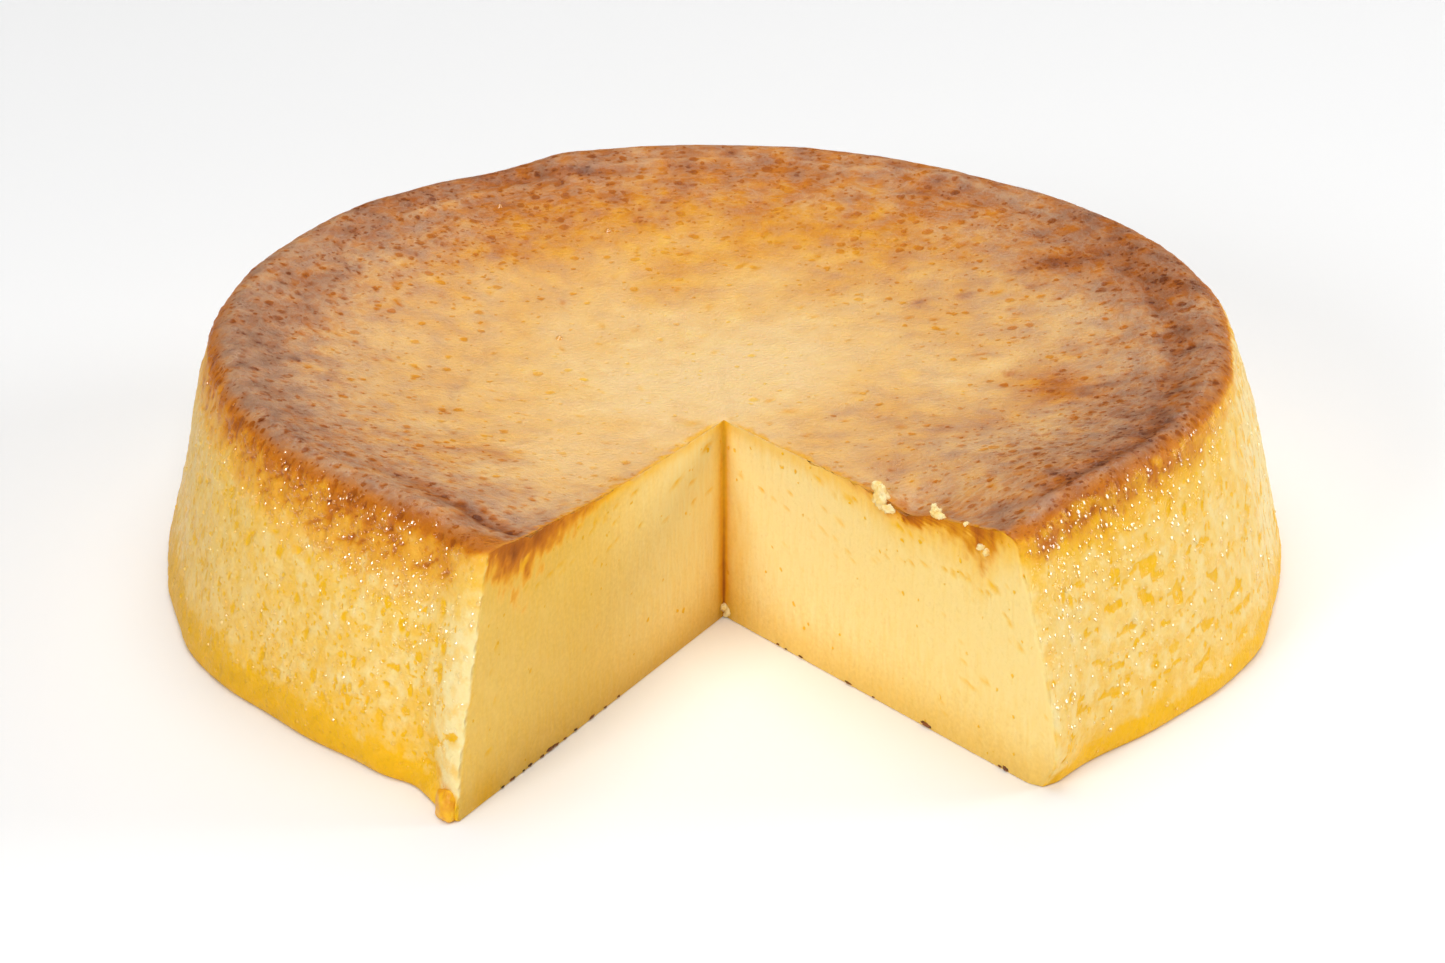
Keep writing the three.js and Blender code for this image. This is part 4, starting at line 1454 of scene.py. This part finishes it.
@dataclass(frozen=True)
class BaseFlecks:
    """Dark specks stuck along the foot of the two cuts."""

    form: FlanForm
    # On each cut: distance from the apex, height, half-length, half-height.
    bits: tuple[tuple[Side, Table], ...] = (
        (Side.LEFT, (
            (66, 0.4, 2, 0.35), (64, 0.3, 0.9, 0.2), (73.6, 0.3, 0.9, 0.25), (80, 0.3, 1.1, 0.2),
            (57, 0.3, 0.7, 0.2), (51, 0.3, 1.1, 0.25), (41, 0.3, 0.6, 0.2), (76, 0.2, 0.5, 0.15),
            (69.3, 0.2, 0.8, 0.2), (61, 0.2, 0.7, 0.15), (46, 0.2, 0.6, 0.15), (83.5, 0.2, 0.7, 0.15),
        )),
        (Side.RIGHT, (
            (61.5, 0.5, 1.5, 0.5), (84.6, 0.4, 1, 0.45), (83, 0.3, 0.6, 0.2), (17, 0.3, 0.5, 0.2),
            (24, 0.3, 0.7, 0.2), (38.5, 0.3, 1.1, 0.2), (19.5, 0.2, 0.4, 0.15), (46, 0.2, 0.4, 0.15),
        )),
    )
    thick: float = 0.35
    sunk: float = 0.1
    rings: int = 9
    spokes: int = 14

    def build(self, finish: bpy.types.Material) -> bpy.types.Object:
        """Flat craggy grains that lie along the cut's foot and stand about 0.2 mm out of it."""
        centres, halves, axes = [], [], []
        for side, rows in self.bits:
            along, out = self.form.direction(side), self.form.outward(side)
            for run, height, length, tall in rows:
                plan = np.array(self.form.apex) + run * along - self.sunk * out
                centres.append([*plan, height])
                halves.append([length, self.thick, tall])
                axes.append([[*along, 0], [*out, 0], [0, 0, 1]])
        bodies = Scatter(np.array(centres), np.array(halves), np.array(axes), 0.4, 73)
        return bodies.piece(self.rings, self.spokes, 0).build("base_flecks", finish)


@dataclass(frozen=True)
class SyrupBeads:
    """Beads of thin syrup that stand on the bubbled wall and rim and catch the light."""

    form: FlanForm
    # Where they gather: azimuth in degrees, height, half-sizes and crowding.
    gathered: tuple[Mark, ...] = marks(
        (-46, 42, 14, 5, 0, 3.4), (-36, 36, 8, 9, 0, 3), (-29, 30, 3, 12, 0, 2.2),
        (-52, 26, 16, 10, 0, 0.6), (-68, 40, 10, 5, 0, 0.6), (-45, 13, 14, 5, 0, 0.8),
        (40, 42, 9, 4.5, 0, 1.1), (38, 34, 7, 5, 0, 0.8), (50, 38, 10, 6, 0, 0.6),
        (62, 43, 9, 4, 0, 0.5), (42, 22, 10, 9, 0, 0.35), (33, 24, 2.2, 16, 0, 0.6),
        (58, 20, 12, 8, 0, 0.25), (46, 48, 18, 2.6, 0, 2), (-46, 48, 18, 2.6, 0, 2.6),
    )
    anywhere: float = 0.05
    count: int = 1500
    # Radii in millimetres, and thickness as a share of the radius.
    small: float = 0.2
    large: float = 0.62
    flatness: float = 0.15
    # Which way they face on the left and on the right: sagging, between straight out and the light.
    facing: Table = ((-0.27, -0.86, 0.475), (0.635, -0.504, 0.585))
    uneven: float = 0.1
    # Three larger ones stand alone on the top.
    single: Table = ((-47, 71), (-24, 63), (-33, 14))
    single_radius: float = 0.75
    single_height: float = 0.5
    rings: int = 4
    spokes: int = 8

    def aim(self, places: Array) -> Array:
        """Which way a bead faces at each place."""
        return np.where(places[:, :1] < 0, *np.array(self.facing)[:, None])

    def chances(self, custard: Piece) -> Array:
        """The chance of each face to hold a bead: its area times the crowding there, over their sum.

        Only the wall and rim have beads, and only where they turn towards the way a bead would face,
        because a bead would stand out of the outline elsewhere.

        Args:
            custard: the custard's mesh.

        Returns:
            The chances, which add up to 1.
        """
        corners = custard.points[custard.triangles]
        cross = np.cross(corners[:, 1] - corners[:, 0], corners[:, 2] - corners[:, 0])
        area = np.linalg.norm(cross, axis=1)
        middle = corners.mean(axis=1)
        degrees = np.degrees(np.arctan2(middle[:, 0], -middle[:, 1]))
        far = np.hypot(middle[:, 0], middle[:, 1])
        outside = (far > self.form.crest + 1) & (middle[:, 2] > 1) & (cross[:, 2] / area < 0.75)
        outside &= custard.amounts[Amount.CUT][custard.triangles].max(axis=1) < 0.5
        outside &= np.sum(cross * self.aim(middle), axis=1) > 0.5 * area
        crowding = self.anywhere + sum(mark.at(degrees, middle[:, 2]) for mark in self.gathered)
        weight = np.where(outside, area * crowding, 0)
        return weight / weight.sum()

    def build(self, custard: Piece, finish: bpy.types.Material) -> bpy.types.Object:
        """Draws faces of the wall by their chances, and stands a low dome on each.

        Args:
            custard: the custard's mesh, which carries the beads.
            finish: their material.

        Returns:
            The object.
        """
        draw = np.random.default_rng(74)
        chances = self.chances(custard)
        chosen = draw.choice(len(chances), self.count, replace=False, p=chances)
        share = draw.dirichlet((1, 1, 1), self.count)
        lone = np.array(self.single)
        centres = np.concatenate([
            np.einsum("nk,nkj->nj", share, custard.points[custard.triangles[chosen]]),
            np.column_stack([lone, self.form.top_height(lone[:, 0], lone[:, 1])]),
        ])
        normals = custard.normals()[custard.triangles[chosen]].mean(axis=1)
        normals = unit(np.concatenate([normals, np.tile([0, 0, 1], (len(lone), 1))]))
        normals = unit(0.25 * normals + self.aim(centres) + draw.normal(0, self.uneven, normals.shape))
        across = unit(np.cross(np.array([0.31, 0.17, 1]), normals))
        axes = np.stack([across, np.cross(normals, across), normals], axis=1)
        radius = mixed(self.small, self.large, draw.random(len(centres)) ** 1.4)
        radius[self.count:] = self.single_radius
        halves = radius[:, None] * np.array([1, 1.15, self.flatness])
        halves[self.count:, 2] = self.single_height
        beads = Scatter(centres, halves, axes, 0, 75).piece(self.rings, self.spokes)

        # A bead shows the custard that it stands on, a little browner and with less of the film and its
        # painted sheen.
        top = np.flatnonzero(custard.points[:, 2] > 35)
        below = [top[np.argmin(np.hypot(*(custard.points[top, :2] - spot).T))] for spot in lone]
        under = np.concatenate([custard.triangles[chosen], np.repeat(np.array(below)[:, None], 3, axis=1)])
        each = len(beads.points) // len(under)
        for amount, values in custard.amounts.items():
            beads.amounts[amount] = np.repeat(values[under].mean(axis=1), each)
        browned, film_and_sheen = beads.amounts[Amount.BROWNED], beads.amounts[Amount.FILM_AND_SHEEN]
        beads.amounts[Amount.BROWNED] = np.minimum(browned * 1.05 + 0.03, 0.5)
        beads.amounts[Amount.FILM_AND_SHEEN] = 0.3 * film_and_sheen
        return beads.build("syrup_beads", finish)


def add(
    tree: bpy.types.NodeTree, kind: str, settings: dict | str | None = None,
    inputs: dict | list | None = None, out: str | int = 0,
) -> Socket:
    """Adds a node with its settings and links.

    Args:
        tree: the material's nodes.
        kind: the node's type, without its common beginning.
        settings: properties to set, or the operation alone.
        inputs: values or sockets, by name, or in the order of the sockets in use.
        out: name of the output, or its place among the outputs in use.

    Returns:
        The output socket.
    """
    node = tree.nodes.new("ShaderNode" + kind)
    if isinstance(settings, str):
        settings = {"operation": settings}
    for key, value in (settings or {}).items():
        setattr(node, key, value)
    used = [socket for socket in node.inputs if socket.enabled]
    pairs = enumerate(inputs) if isinstance(inputs, list) else (inputs or {}).items()
    for key, value in pairs:
        socket = node.inputs[key] if isinstance(key, str) else used[key]
        if isinstance(value, Socket):
            tree.links.new(value, socket)
        else:
            socket.default_value = value
    return node.outputs[out] if isinstance(out, str) else [o for o in node.outputs if o.enabled][out]


def bare_material(name: str) -> bpy.types.Material:
    """A material without nodes."""
    finish = bpy.data.materials.new(name)
    finish.use_nodes = True
    finish.node_tree.nodes.clear()
    return finish


def shown(finish: bpy.types.Material, surface: Socket) -> bpy.types.Material:
    """The material with this surface."""
    output = finish.node_tree.nodes.new("ShaderNodeOutputMaterial")
    finish.node_tree.links.new(surface, output.inputs["Surface"])
    return finish


@dataclass(frozen=True)
class Ground:
    """What the layers of the custard's material share: places, amounts and noises."""

    tree: bpy.types.NodeTree
    here: dict[Amount, Socket]
    sway: Socket            # a random way of up to 0.3 mm, so that no pit is quite round
    bent: Socket            # the place, moved by that
    grain: Socket           # fine noise
    broad: Socket           # noise in clouds of a few millimetres
    lines: Socket           # upright drag lines of the knife


@dataclass(frozen=True)
class BakedCustard:
    """Set egg custard, steamed and browned: firm, moist and translucent, with a thin wet skin.

    Light goes a few millimetres in and comes out warmer, which is why edges and pits glow orange.
    The wet skin gives a soft sheen over it and small hard glints on the bubbles.
    """

    bare: tuple[tuple[float, str], ...] = (
        (0, "#fbd172"), (0.18, "#f3b441"), (0.38, "#e2961f"), (0.58, "#c97413"),
        (0.8, "#a6570f"), (1, "#74360a"),
    )
    # The film's colour over each browning: partly a real pale film, partly a painted sheen that greys it to
    # mauve.
    veiled: tuple[tuple[float, str], ...] = (
        (0, "#f6d094"), (0.2, "#f2c787"), (0.32, "#edc182"), (0.46, "#e0b27a"),
        (0.6, "#cfa074"), (0.76, "#b68a6a"), (1, "#8b634b"),
    )
    cut: str = "#fcd671"
    soaked: str = "#fabf12"
    scorched: str = "#632f0c"
    pale: str = "#fee6a4"
    # Painted shade: a duller, deeper gold.
    painted_shade: str = "#bd8a22"
    # Sizes in millimetres: of the cells that hold pits, fine pits and drops, and of the noises.
    pit_mm: float = 3.1
    speck_mm: float = 1.45
    drop_mm: float = 0.8
    grain_mm: float = 0.8
    broad_mm: float = 3.5
    line_mm: float = 1.1
    streak_mm: float = 2.6
    # Whether this is the custard as seen through a bead of clear syrup that stands on it.
    beaded: bool = False

    def ground(self, tree: bpy.types.NodeTree) -> Ground:
        """Adds what the layers share.

        Args:
            tree: the material's nodes.

        Returns:
            The places, amounts and noises.
        """
        place = add(tree, "TexCoord", out="Object")
        tall = add(tree, "VectorMath", "MULTIPLY", [place, (1, 1, 0.22)])
        noises = [
            add(tree, "TexNoise", None, {"Vector": where, "Scale": 1 / (size * MM), "Detail": detail}, out)
            for where, size, detail, out in (
                (place, 1.6, 2, "Color"), (place, self.grain_mm, 3, "Fac"),
                (place, self.broad_mm, 4, "Fac"), (tall, self.line_mm, 2, "Fac"),
            )
        ]
        sway = add(tree, "VectorMath", "SUBTRACT", [noises[0], (0.5, 0.5, 0.5)])
        sway = add(tree, "VectorMath", "SCALE", [sway, 1.4 * MM])
        here = {a: add(tree, "Attribute", {"attribute_name": a.value}, out="Fac") for a in Amount}
        return Ground(tree, here, sway, add(tree, "VectorMath", "ADD", [place, sway]), *noises[1:])

    def pits(self, tree: bpy.types.NodeTree, where: Socket, cell_mm: float, share: Socket) -> Socket:
        """Round pits of random size: cells, each with its own draw for whether and how large.

        Args:
            tree: the material's nodes.
            where: the places.
            cell_mm: distance between the places for a pit.
            share: how many of them hold one.

        Returns:
            Depth, 1 in a pit and 0 outside.
        """
        cells = {"Vector": where, "Scale": 1 / (cell_mm * MM), "Randomness": 1}
        middle = add(tree, "TexVoronoi", {"feature": "F1"}, cells, "Distance")
        draw = add(tree, "SeparateColor", None, {"Color": middle.node.outputs["Color"]}, "Red")
        radius = add(tree, "MapRange", None, [draw.node.outputs["Green"], 0, 1, 0.2, 0.46])
        floor = add(tree, "Math", "MULTIPLY", [radius, 0.5])
        bowl = add(tree, "MapRange", SMOOTH, [middle, radius, floor, 0, 1])
        return add(tree, "Math", "MULTIPLY", [bowl, add(tree, "Math", "LESS_THAN", [draw, share])])

    def hollows(self, g: Ground) -> Socket:
        """Depth in a pit, a fine pit or a hole, 0 to 1. Large pits stand upright."""
        tree, here = g.tree, g.here
        upright = add(tree, "VectorMath", "MULTIPLY", [g.bent, (1, 1, 0.62)])
        pit = self.pits(tree, upright, self.pit_mm, here[Amount.PITTED])
        speck = self.pits(tree, g.bent, self.speck_mm, here[Amount.SPECKED])
        ragged = add(tree, "MapRange", None, [g.grain, 0, 1, -0.35, 0.35])
        ragged = add(tree, "Math", "ADD", [here[Amount.OPENED], ragged])
        opened = add(tree, "MapRange", SMOOTH, [ragged, 0.36, 0.72])
        large = add(tree, "Math", "MAXIMUM", [pit, opened])
        return add(tree, "Math", "MAXIMUM", [large, add(tree, "Math", "MULTIPLY", [speck, 0.8])])

    def wisps(self, g: Ground) -> Socket:
        """Wisps of film and painted sheen round the rim, above 0, and gaps below 0: noise drawn out round
        it.
        """
        tree = g.tree
        along = add(tree, "Attribute", {"attribute_name": "along"}, out="Vector")
        drawn = add(tree, "VectorMath", "MULTIPLY", [along, (0.5, 1, 1)])
        drawn = add(tree, "VectorMath", "ADD", [drawn, g.sway])
        noise = {"Vector": drawn, "Scale": 1 / (self.streak_mm * MM), "Detail": 3}
        streak = add(tree, "Math", "SUBTRACT", [add(tree, "TexNoise", None, noise, "Fac"), 0.5])
        streak = add(tree, "Math", "ABSOLUTE", [streak])
        streak = add(tree, "MapRange", SMOOTH, [streak, 0, 0.13, 0.26, -0.16])
        return add(tree, "Math", "MULTIPLY", [streak, g.here[Amount.BRUSHED]])

    def colour(self, g: Ground, hollow: Socket, streak: Socket) -> Socket:
        """The colour: browned skin, three custards and painted shade in it, film with painted sheen, and
        burnt creases.

        Args:
            g: what the layers share.
            hollow: depth in a pit or hole.
            streak: wisps of film along the rim.

        Returns:
            The colour.
        """
        tree, here = g.tree, g.here
        drift = add(tree, "MapRange", None, [g.grain, 0, 1, -0.04, 0.04])
        wave = add(tree, "MapRange", None, [g.broad, 0.25, 0.75, -0.06, 0.06])
        browned = add(tree, "Math", "ADD", [here[Amount.BROWNED], drift])
        browned = add(tree, "Math", CLAMPED | {"operation": "ADD"}, [browned, wave])
        # A pit in pale custard is hardly darker, and one in browned skin is much darker.
        deeper = add(tree, "Math", "MULTIPLY_ADD", [here[Amount.FILM_AND_SHEEN], -0.1, 0.22])
        deeper = add(tree, "Math", "MULTIPLY", [browned, deeper])
        darker = add(tree, "Math", CLAMPED | {"operation": "MULTIPLY_ADD"}, [hollow, deeper, browned])
        ramps = []
        for brown, stops in ((darker, self.bare), (browned, self.veiled)):
            ramps.append(add(tree, "ValToRGB", None, {"Fac": brown}, "Color"))
            ramp = ramps[-1].node.color_ramp
            while len(ramp.elements) < len(stops):
                ramp.elements.new(0.5)
            for element, (share, shade) in zip(ramp.elements, stops):
                element.position, element.color = share, linear(shade)
        film = add(tree, "Math", "MULTIPLY_ADD", [hollow, -0.65, here[Amount.FILM_AND_SHEEN]])
        film = add(tree, "Math", CLAMPED | {"operation": "ADD"}, [film, streak])

        shade, veiled = ramps
        held_back = add(tree, "Math", "MULTIPLY", [darker, 1.3])
        for amount, colour in self.kinds(g, hollow, browned):
            held = add(tree, "Math", CLAMPED | {"operation": "SUBTRACT"}, [amount, held_back])
            shade = add(tree, "Mix", COLOURS, [held, shade, linear(colour)])
        shade = add(tree, "Mix", COLOURS, [film, shade, veiled])
        burnt = add(tree, "Math", "MULTIPLY_ADD", [hollow, 0.95, 0.2])
        burnt = add(tree, "Math", CLAMPED | {"operation": "MULTIPLY"}, [here[Amount.SCORCHED], burnt])
        return add(tree, "Mix", COLOURS, [burnt, shade, linear(self.scorched)])

    def kinds(self, g: Ground, hollow: Socket, browned: Socket) -> tuple[tuple[Socket, str], ...]:
        """How much of each layer shows, and its colour: sliced, pale and soaked custard, and painted shade.

        Args:
            g: what the layers share.
            hollow: depth in a pit or hole.
            browned: how brown the skin is.

        Returns:
            Amounts and colours, in the order in which they lie on one another.
        """
        tree, here = g.tree, g.here
        sliced = add(tree, "Math", "MULTIPLY", [here[Amount.CUT], 0.9])
        browning = add(tree, "Math", "MULTIPLY", [here[Amount.BROWNED], 2.6])
        sliced = add(tree, "Math", CLAMPED | {"operation": "SUBTRACT"}, [sliced, browning])
        # Golden clouds in the skin of the wall, gold in every hollow, and gold in every other drag line.
        cloud = add(tree, "MapRange", None, [g.broad, 0.34, 0.66, -0.38, 0.38])
        cloud = add(tree, "Math", "MULTIPLY", [cloud, add(tree, "Math", "SUBTRACT", [1, here[Amount.CUT]])])
        gold = add(tree, "Math", CLAMPED | {"operation": "MULTIPLY_ADD"}, [browned, -4.2, 1.1])
        gold = add(tree, "Math", "MULTIPLY", [gold, hollow])
        soaked = add(tree, "Math", "ADD", [gold, here[Amount.SOAKED]])
        soaked = add(tree, "Math", "ADD", [soaked, cloud])
        dragged = add(tree, "Math", "MULTIPLY_ADD", [g.lines, 0.5, -0.25])
        soaked = add(tree, "Math", "MULTIPLY_ADD", [dragged, here[Amount.CUT], soaked])
        pale = add(tree, "Math", "MULTIPLY_ADD", [cloud, -0.7, here[Amount.PALE]])
        pale = add(tree, "Math", CLAMPED | {"operation": "MULTIPLY_ADD"}, [hollow, -0.8, pale])
        # Painted shade lies deeper in pits.
        shade_in_pits = add(tree, "Math", "MULTIPLY_ADD", [hollow, 0.45, 1])
        painted_shade = add(tree, "Math", "MULTIPLY", [here[Amount.PAINTED_SHADE], shade_in_pits])
        uneven = add(tree, "MapRange", None, [g.grain, 0.3, 0.7, -0.08, 0.08])
        painted_shade = add(tree, "Math", "ADD", [painted_shade, uneven])
        return (sliced, self.cut), (pale, self.pale), (soaked, self.soaked), (painted_shade, self.painted_shade)

    def relief(self, g: Ground, hollow: Socket, streak: Socket) -> Socket:
        """Relief that is too fine for the mesh: grain, or drag lines on the cuts, with pits and wisps.

        Args:
            g: what the layers share.
            hollow: depth in a pit or hole.
            streak: wisps along the rim.

        Returns:
            The normal.
        """
        tree = g.tree
        sliced = add(tree, "Math", "MULTIPLY", [g.here[Amount.CUT], 0.6])
        height = add(tree, "Mix", {"data_type": "FLOAT"}, [sliced, g.grain, g.lines])
        height = add(tree, "Math", "MULTIPLY_ADD", [hollow, -0.5, height])
        height = add(tree, "Math", "MULTIPLY_ADD", [streak, 0.5, height])
        return add(tree, "Bump", None, {"Height": height, "Strength": 0.7, "Distance": 0.36 * MM}, "Normal")

    def syrup(self, g: Ground, normal: Socket) -> dict[str, float | Socket]:
        """Syrup over the skin: droplets, each at its own slant, and the ones that face a light glint.

        Args:
            g: what the layers share.
            normal: the skin's own normal.

        Returns:
            Settings of the shader's coat.
        """
        if self.beaded:
            return {"Coat Weight": 1, "Coat Roughness": 0.04, "Coat IOR": 1.9}
        tree, wet = g.tree, g.here[Amount.WET]
        cells = {"Vector": g.bent, "Scale": 1 / (self.drop_mm * MM), "Randomness": 1}
        slant = add(tree, "TexVoronoi", {"feature": "F1"}, cells, "Color")
        slant = add(tree, "VectorMath", "SUBTRACT", [slant, (0.5, 0.85, 0.2)])
        slant = add(tree, "VectorMath", "SCALE", [slant, add(tree, "Math", "MULTIPLY", [wet, 1.1])])
        slant = add(tree, "VectorMath", "ADD", [normal, slant])
        slant = add(tree, "VectorMath", "NORMALIZE", [slant])
        patch = add(tree, "MapRange", SMOOTH, [g.broad, 0.45, 0.6, 0.1, 0.9])
        coat = add(tree, "Math", "MULTIPLY", [patch, wet])
        return {"Coat Weight": coat, "Coat Roughness": 0.06, "Coat IOR": 1.5, "Coat Normal": slant}

    def material(self) -> bpy.types.Material:
        """Builds the material.

        Returns:
            The material.
        """
        finish = bare_material("clear_syrup_over_custard" if self.beaded else "baked_egg_custard")
        g = self.ground(finish.node_tree)
        hollow, streak = self.hollows(g), self.wisps(g)
        normal = self.relief(g, hollow, streak)
        return shown(finish, add(g.tree, "BsdfPrincipled", {"subsurface_method": "RANDOM_WALK"}, {
            "Base Color": self.colour(g, hollow, streak), "IOR": 1.42, "Specular IOR Level": 0.18,
            "Roughness": add(g.tree, "MapRange", None, [g.here[Amount.WET], 0, 1, 0.55, 0.32]),
            "Normal": normal, "Subsurface Weight": 0 if self.beaded else 0.22,
            "Subsurface Radius": (1, 0.66, 0.32), "Subsurface Scale": 2 * MM, **self.syrup(g, normal),
        }, "BSDF"))


@dataclass(frozen=True)
class PlainFood:
    """A small bit of food of one kind: two shades in soft blotches, rough or wet, with a fine crumb."""

    name: str
    light: str
    dark: str
    blotch_mm: float
    roughness: float
    glow: float
    coat: float

    def material(self) -> bpy.types.Material:
        """Builds the material.

        Returns:
            The material.
        """
        finish = bare_material(self.name)
        tree = finish.node_tree
        place = add(tree, "TexCoord", out="Object")
        noise = {"Vector": place, "Scale": 1 / (self.blotch_mm * MM), "Detail": 4}
        blotch = add(tree, "MapRange", SMOOTH, [add(tree, "TexNoise", None, noise, "Fac"), 0.36, 0.64])
        shade = add(tree, "Mix", COLOURS, [blotch, linear(self.light), linear(self.dark)])
        crumb = add(tree, "TexNoise", None, {"Vector": place, "Scale": 1 / (0.35 * MM), "Detail": 3}, "Fac")
        normal = add(tree, "Bump", None, {"Height": crumb, "Strength": 0.6, "Distance": 0.12 * MM}, "Normal")
        return shown(finish, add(tree, "BsdfPrincipled", {"subsurface_method": "RANDOM_WALK"}, {
            "Base Color": shade, "Roughness": self.roughness, "IOR": 1.42, "Normal": normal,
            "Subsurface Weight": self.glow, "Subsurface Radius": (1, 0.5, 0.2),
            "Subsurface Scale": 1.5 * MM, "Coat Weight": self.coat, "Coat Roughness": 0.08,
            "Coat IOR": 1.4, "Coat Normal": normal,
        }, "BSDF"))


# Custard that was torn, not cut, and drank syrup: deep golden, wet, with orange in its hollows.
SOAKED_CUSTARD = PlainFood("soaked_custard", "#f9bd20", "#e99c0c", 2.4, 0.45, 0.05, 0.15)
# Custard from inside the cut: pale, moist and craggy, with a little light going through.
CUSTARD_CRUMB = PlainFood("custard_crumb", "#ffebb0", "#fad680", 1.6, 0.55, 0.04, 0.1)
# Dark specks at the foot: nearly black, with a dull shine.
DARK_FLECK = PlainFood("dark_fleck", "#3a1a08", "#8e4d18", 1.2, 0.45, 0, 0.2)


@dataclass(frozen=True)
class Studio:
    """Plain pale floor, soft round lights and the camera. Places are in metres and powers in watts."""

    camera_place: tuple[float, float, float] = (0.00024, -1.0763, 0.5306)
    camera_tilt: float = 64.517
    lens: float = 146.37
    aim: tuple[float, float, float] = (0, 0, 0.03)
    # Name, place, diameter and power.
    lamps: tuple[tuple[str, tuple[float, float, float], float, float], ...] = (
        ("overhead", (0, 0.05, 1.6), 1.5, 13.4), ("front", (0.05, -1.3, 1.15), 0.4, 7.9),
        ("key", (-0.8, -1.15, 0.72), 0.45, 7.2), ("side", (1.33, 0.18, 0.47), 0.6, 7.4),
        ("back", (0.1, 1.05, 1.2), 0.7, 2.6),
    )
    sky_shade: str = "#f7f7f7"
    sky_strength: float = 0.11
    floor_shade: str = "#fdfdfd"
    floor_half: float = 6
    floor_drop: float = 0.0002

    def camera(self) -> None:
        """Sets up the camera."""
        scene = bpy.context.scene
        scene.view_settings.view_transform = "Standard"
        eye = bpy.data.cameras.new("camera")
        eye.sensor_width, eye.lens = 36, self.lens
        eye.clip_start, eye.clip_end = 0.05, 20
        camera = bpy.data.objects.new("camera", eye)
        camera.location = self.camera_place
        camera.rotation_euler = (math.radians(self.camera_tilt), 0, 0)
        scene.collection.objects.link(camera)
        scene.camera = camera

    def light(self) -> None:
        """Adds the lamps, all turned to the flan, and the even light of the room."""
        for name, place, size, power in self.lamps:
            light = bpy.data.lights.new(name, "AREA")
            light.shape, light.size, light.energy = "DISK", size, power
            lamp = bpy.data.objects.new(name, light)
            lamp.location = place
            lamp.rotation_euler = (Vector(self.aim) - Vector(place)).to_track_quat("-Z", "Y").to_euler()
            bpy.context.scene.collection.objects.link(lamp)
        world = bpy.data.worlds.new("soft_white")
        world.use_nodes = True
        sky = world.node_tree.nodes["Background"]
        sky.inputs["Color"].default_value = linear(self.sky_shade)
        sky.inputs["Strength"].default_value = self.sky_strength
        bpy.context.scene.world = world

    def floor(self) -> None:
        """Lays the floor: board painted matt white, which gives no sheen of its own under the food."""
        half = self.floor_half
        mesh = bpy.data.meshes.new("floor")
        corners = [(-half, -half, 0), (half, -half, 0), (half, half, 0), (-half, half, 0)]
        mesh.from_pydata(corners, [], [(0, 1, 2, 3)])
        paint = bpy.data.materials.new("matt_white_board")
        paint.use_nodes = True
        board = paint.node_tree.nodes["Principled BSDF"]
        board.inputs["Base Color"].default_value = linear(self.floor_shade)
        board.inputs["Roughness"].default_value = 0.9
        mesh.materials.append(paint)
        floor = bpy.data.objects.new("floor", mesh)
        floor.location.z = -self.floor_drop
        bpy.context.scene.collection.objects.link(floor)


def main() -> None:
    """Builds the studio and every piece in order."""
    logging.basicConfig(level=logging.INFO, format="%(name)s: %(message)s")
    studio = Studio()
    studio.camera()
    studio.light()
    studio.floor()
    form = FlanForm()
    custard = Custard(form).piece()
    flan = custard.build("flan_custard", BakedCustard().material())
    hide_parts("flan")
    TornLump().build(SOAKED_CUSTARD.material())
    Crumbs(form).build(CUSTARD_CRUMB.material())
    BaseFlecks(form).build(DARK_FLECK.material())
    SyrupBeads(form).build(custard, BakedCustard(beaded=True).material())


if __name__ == "__main__":
    main()
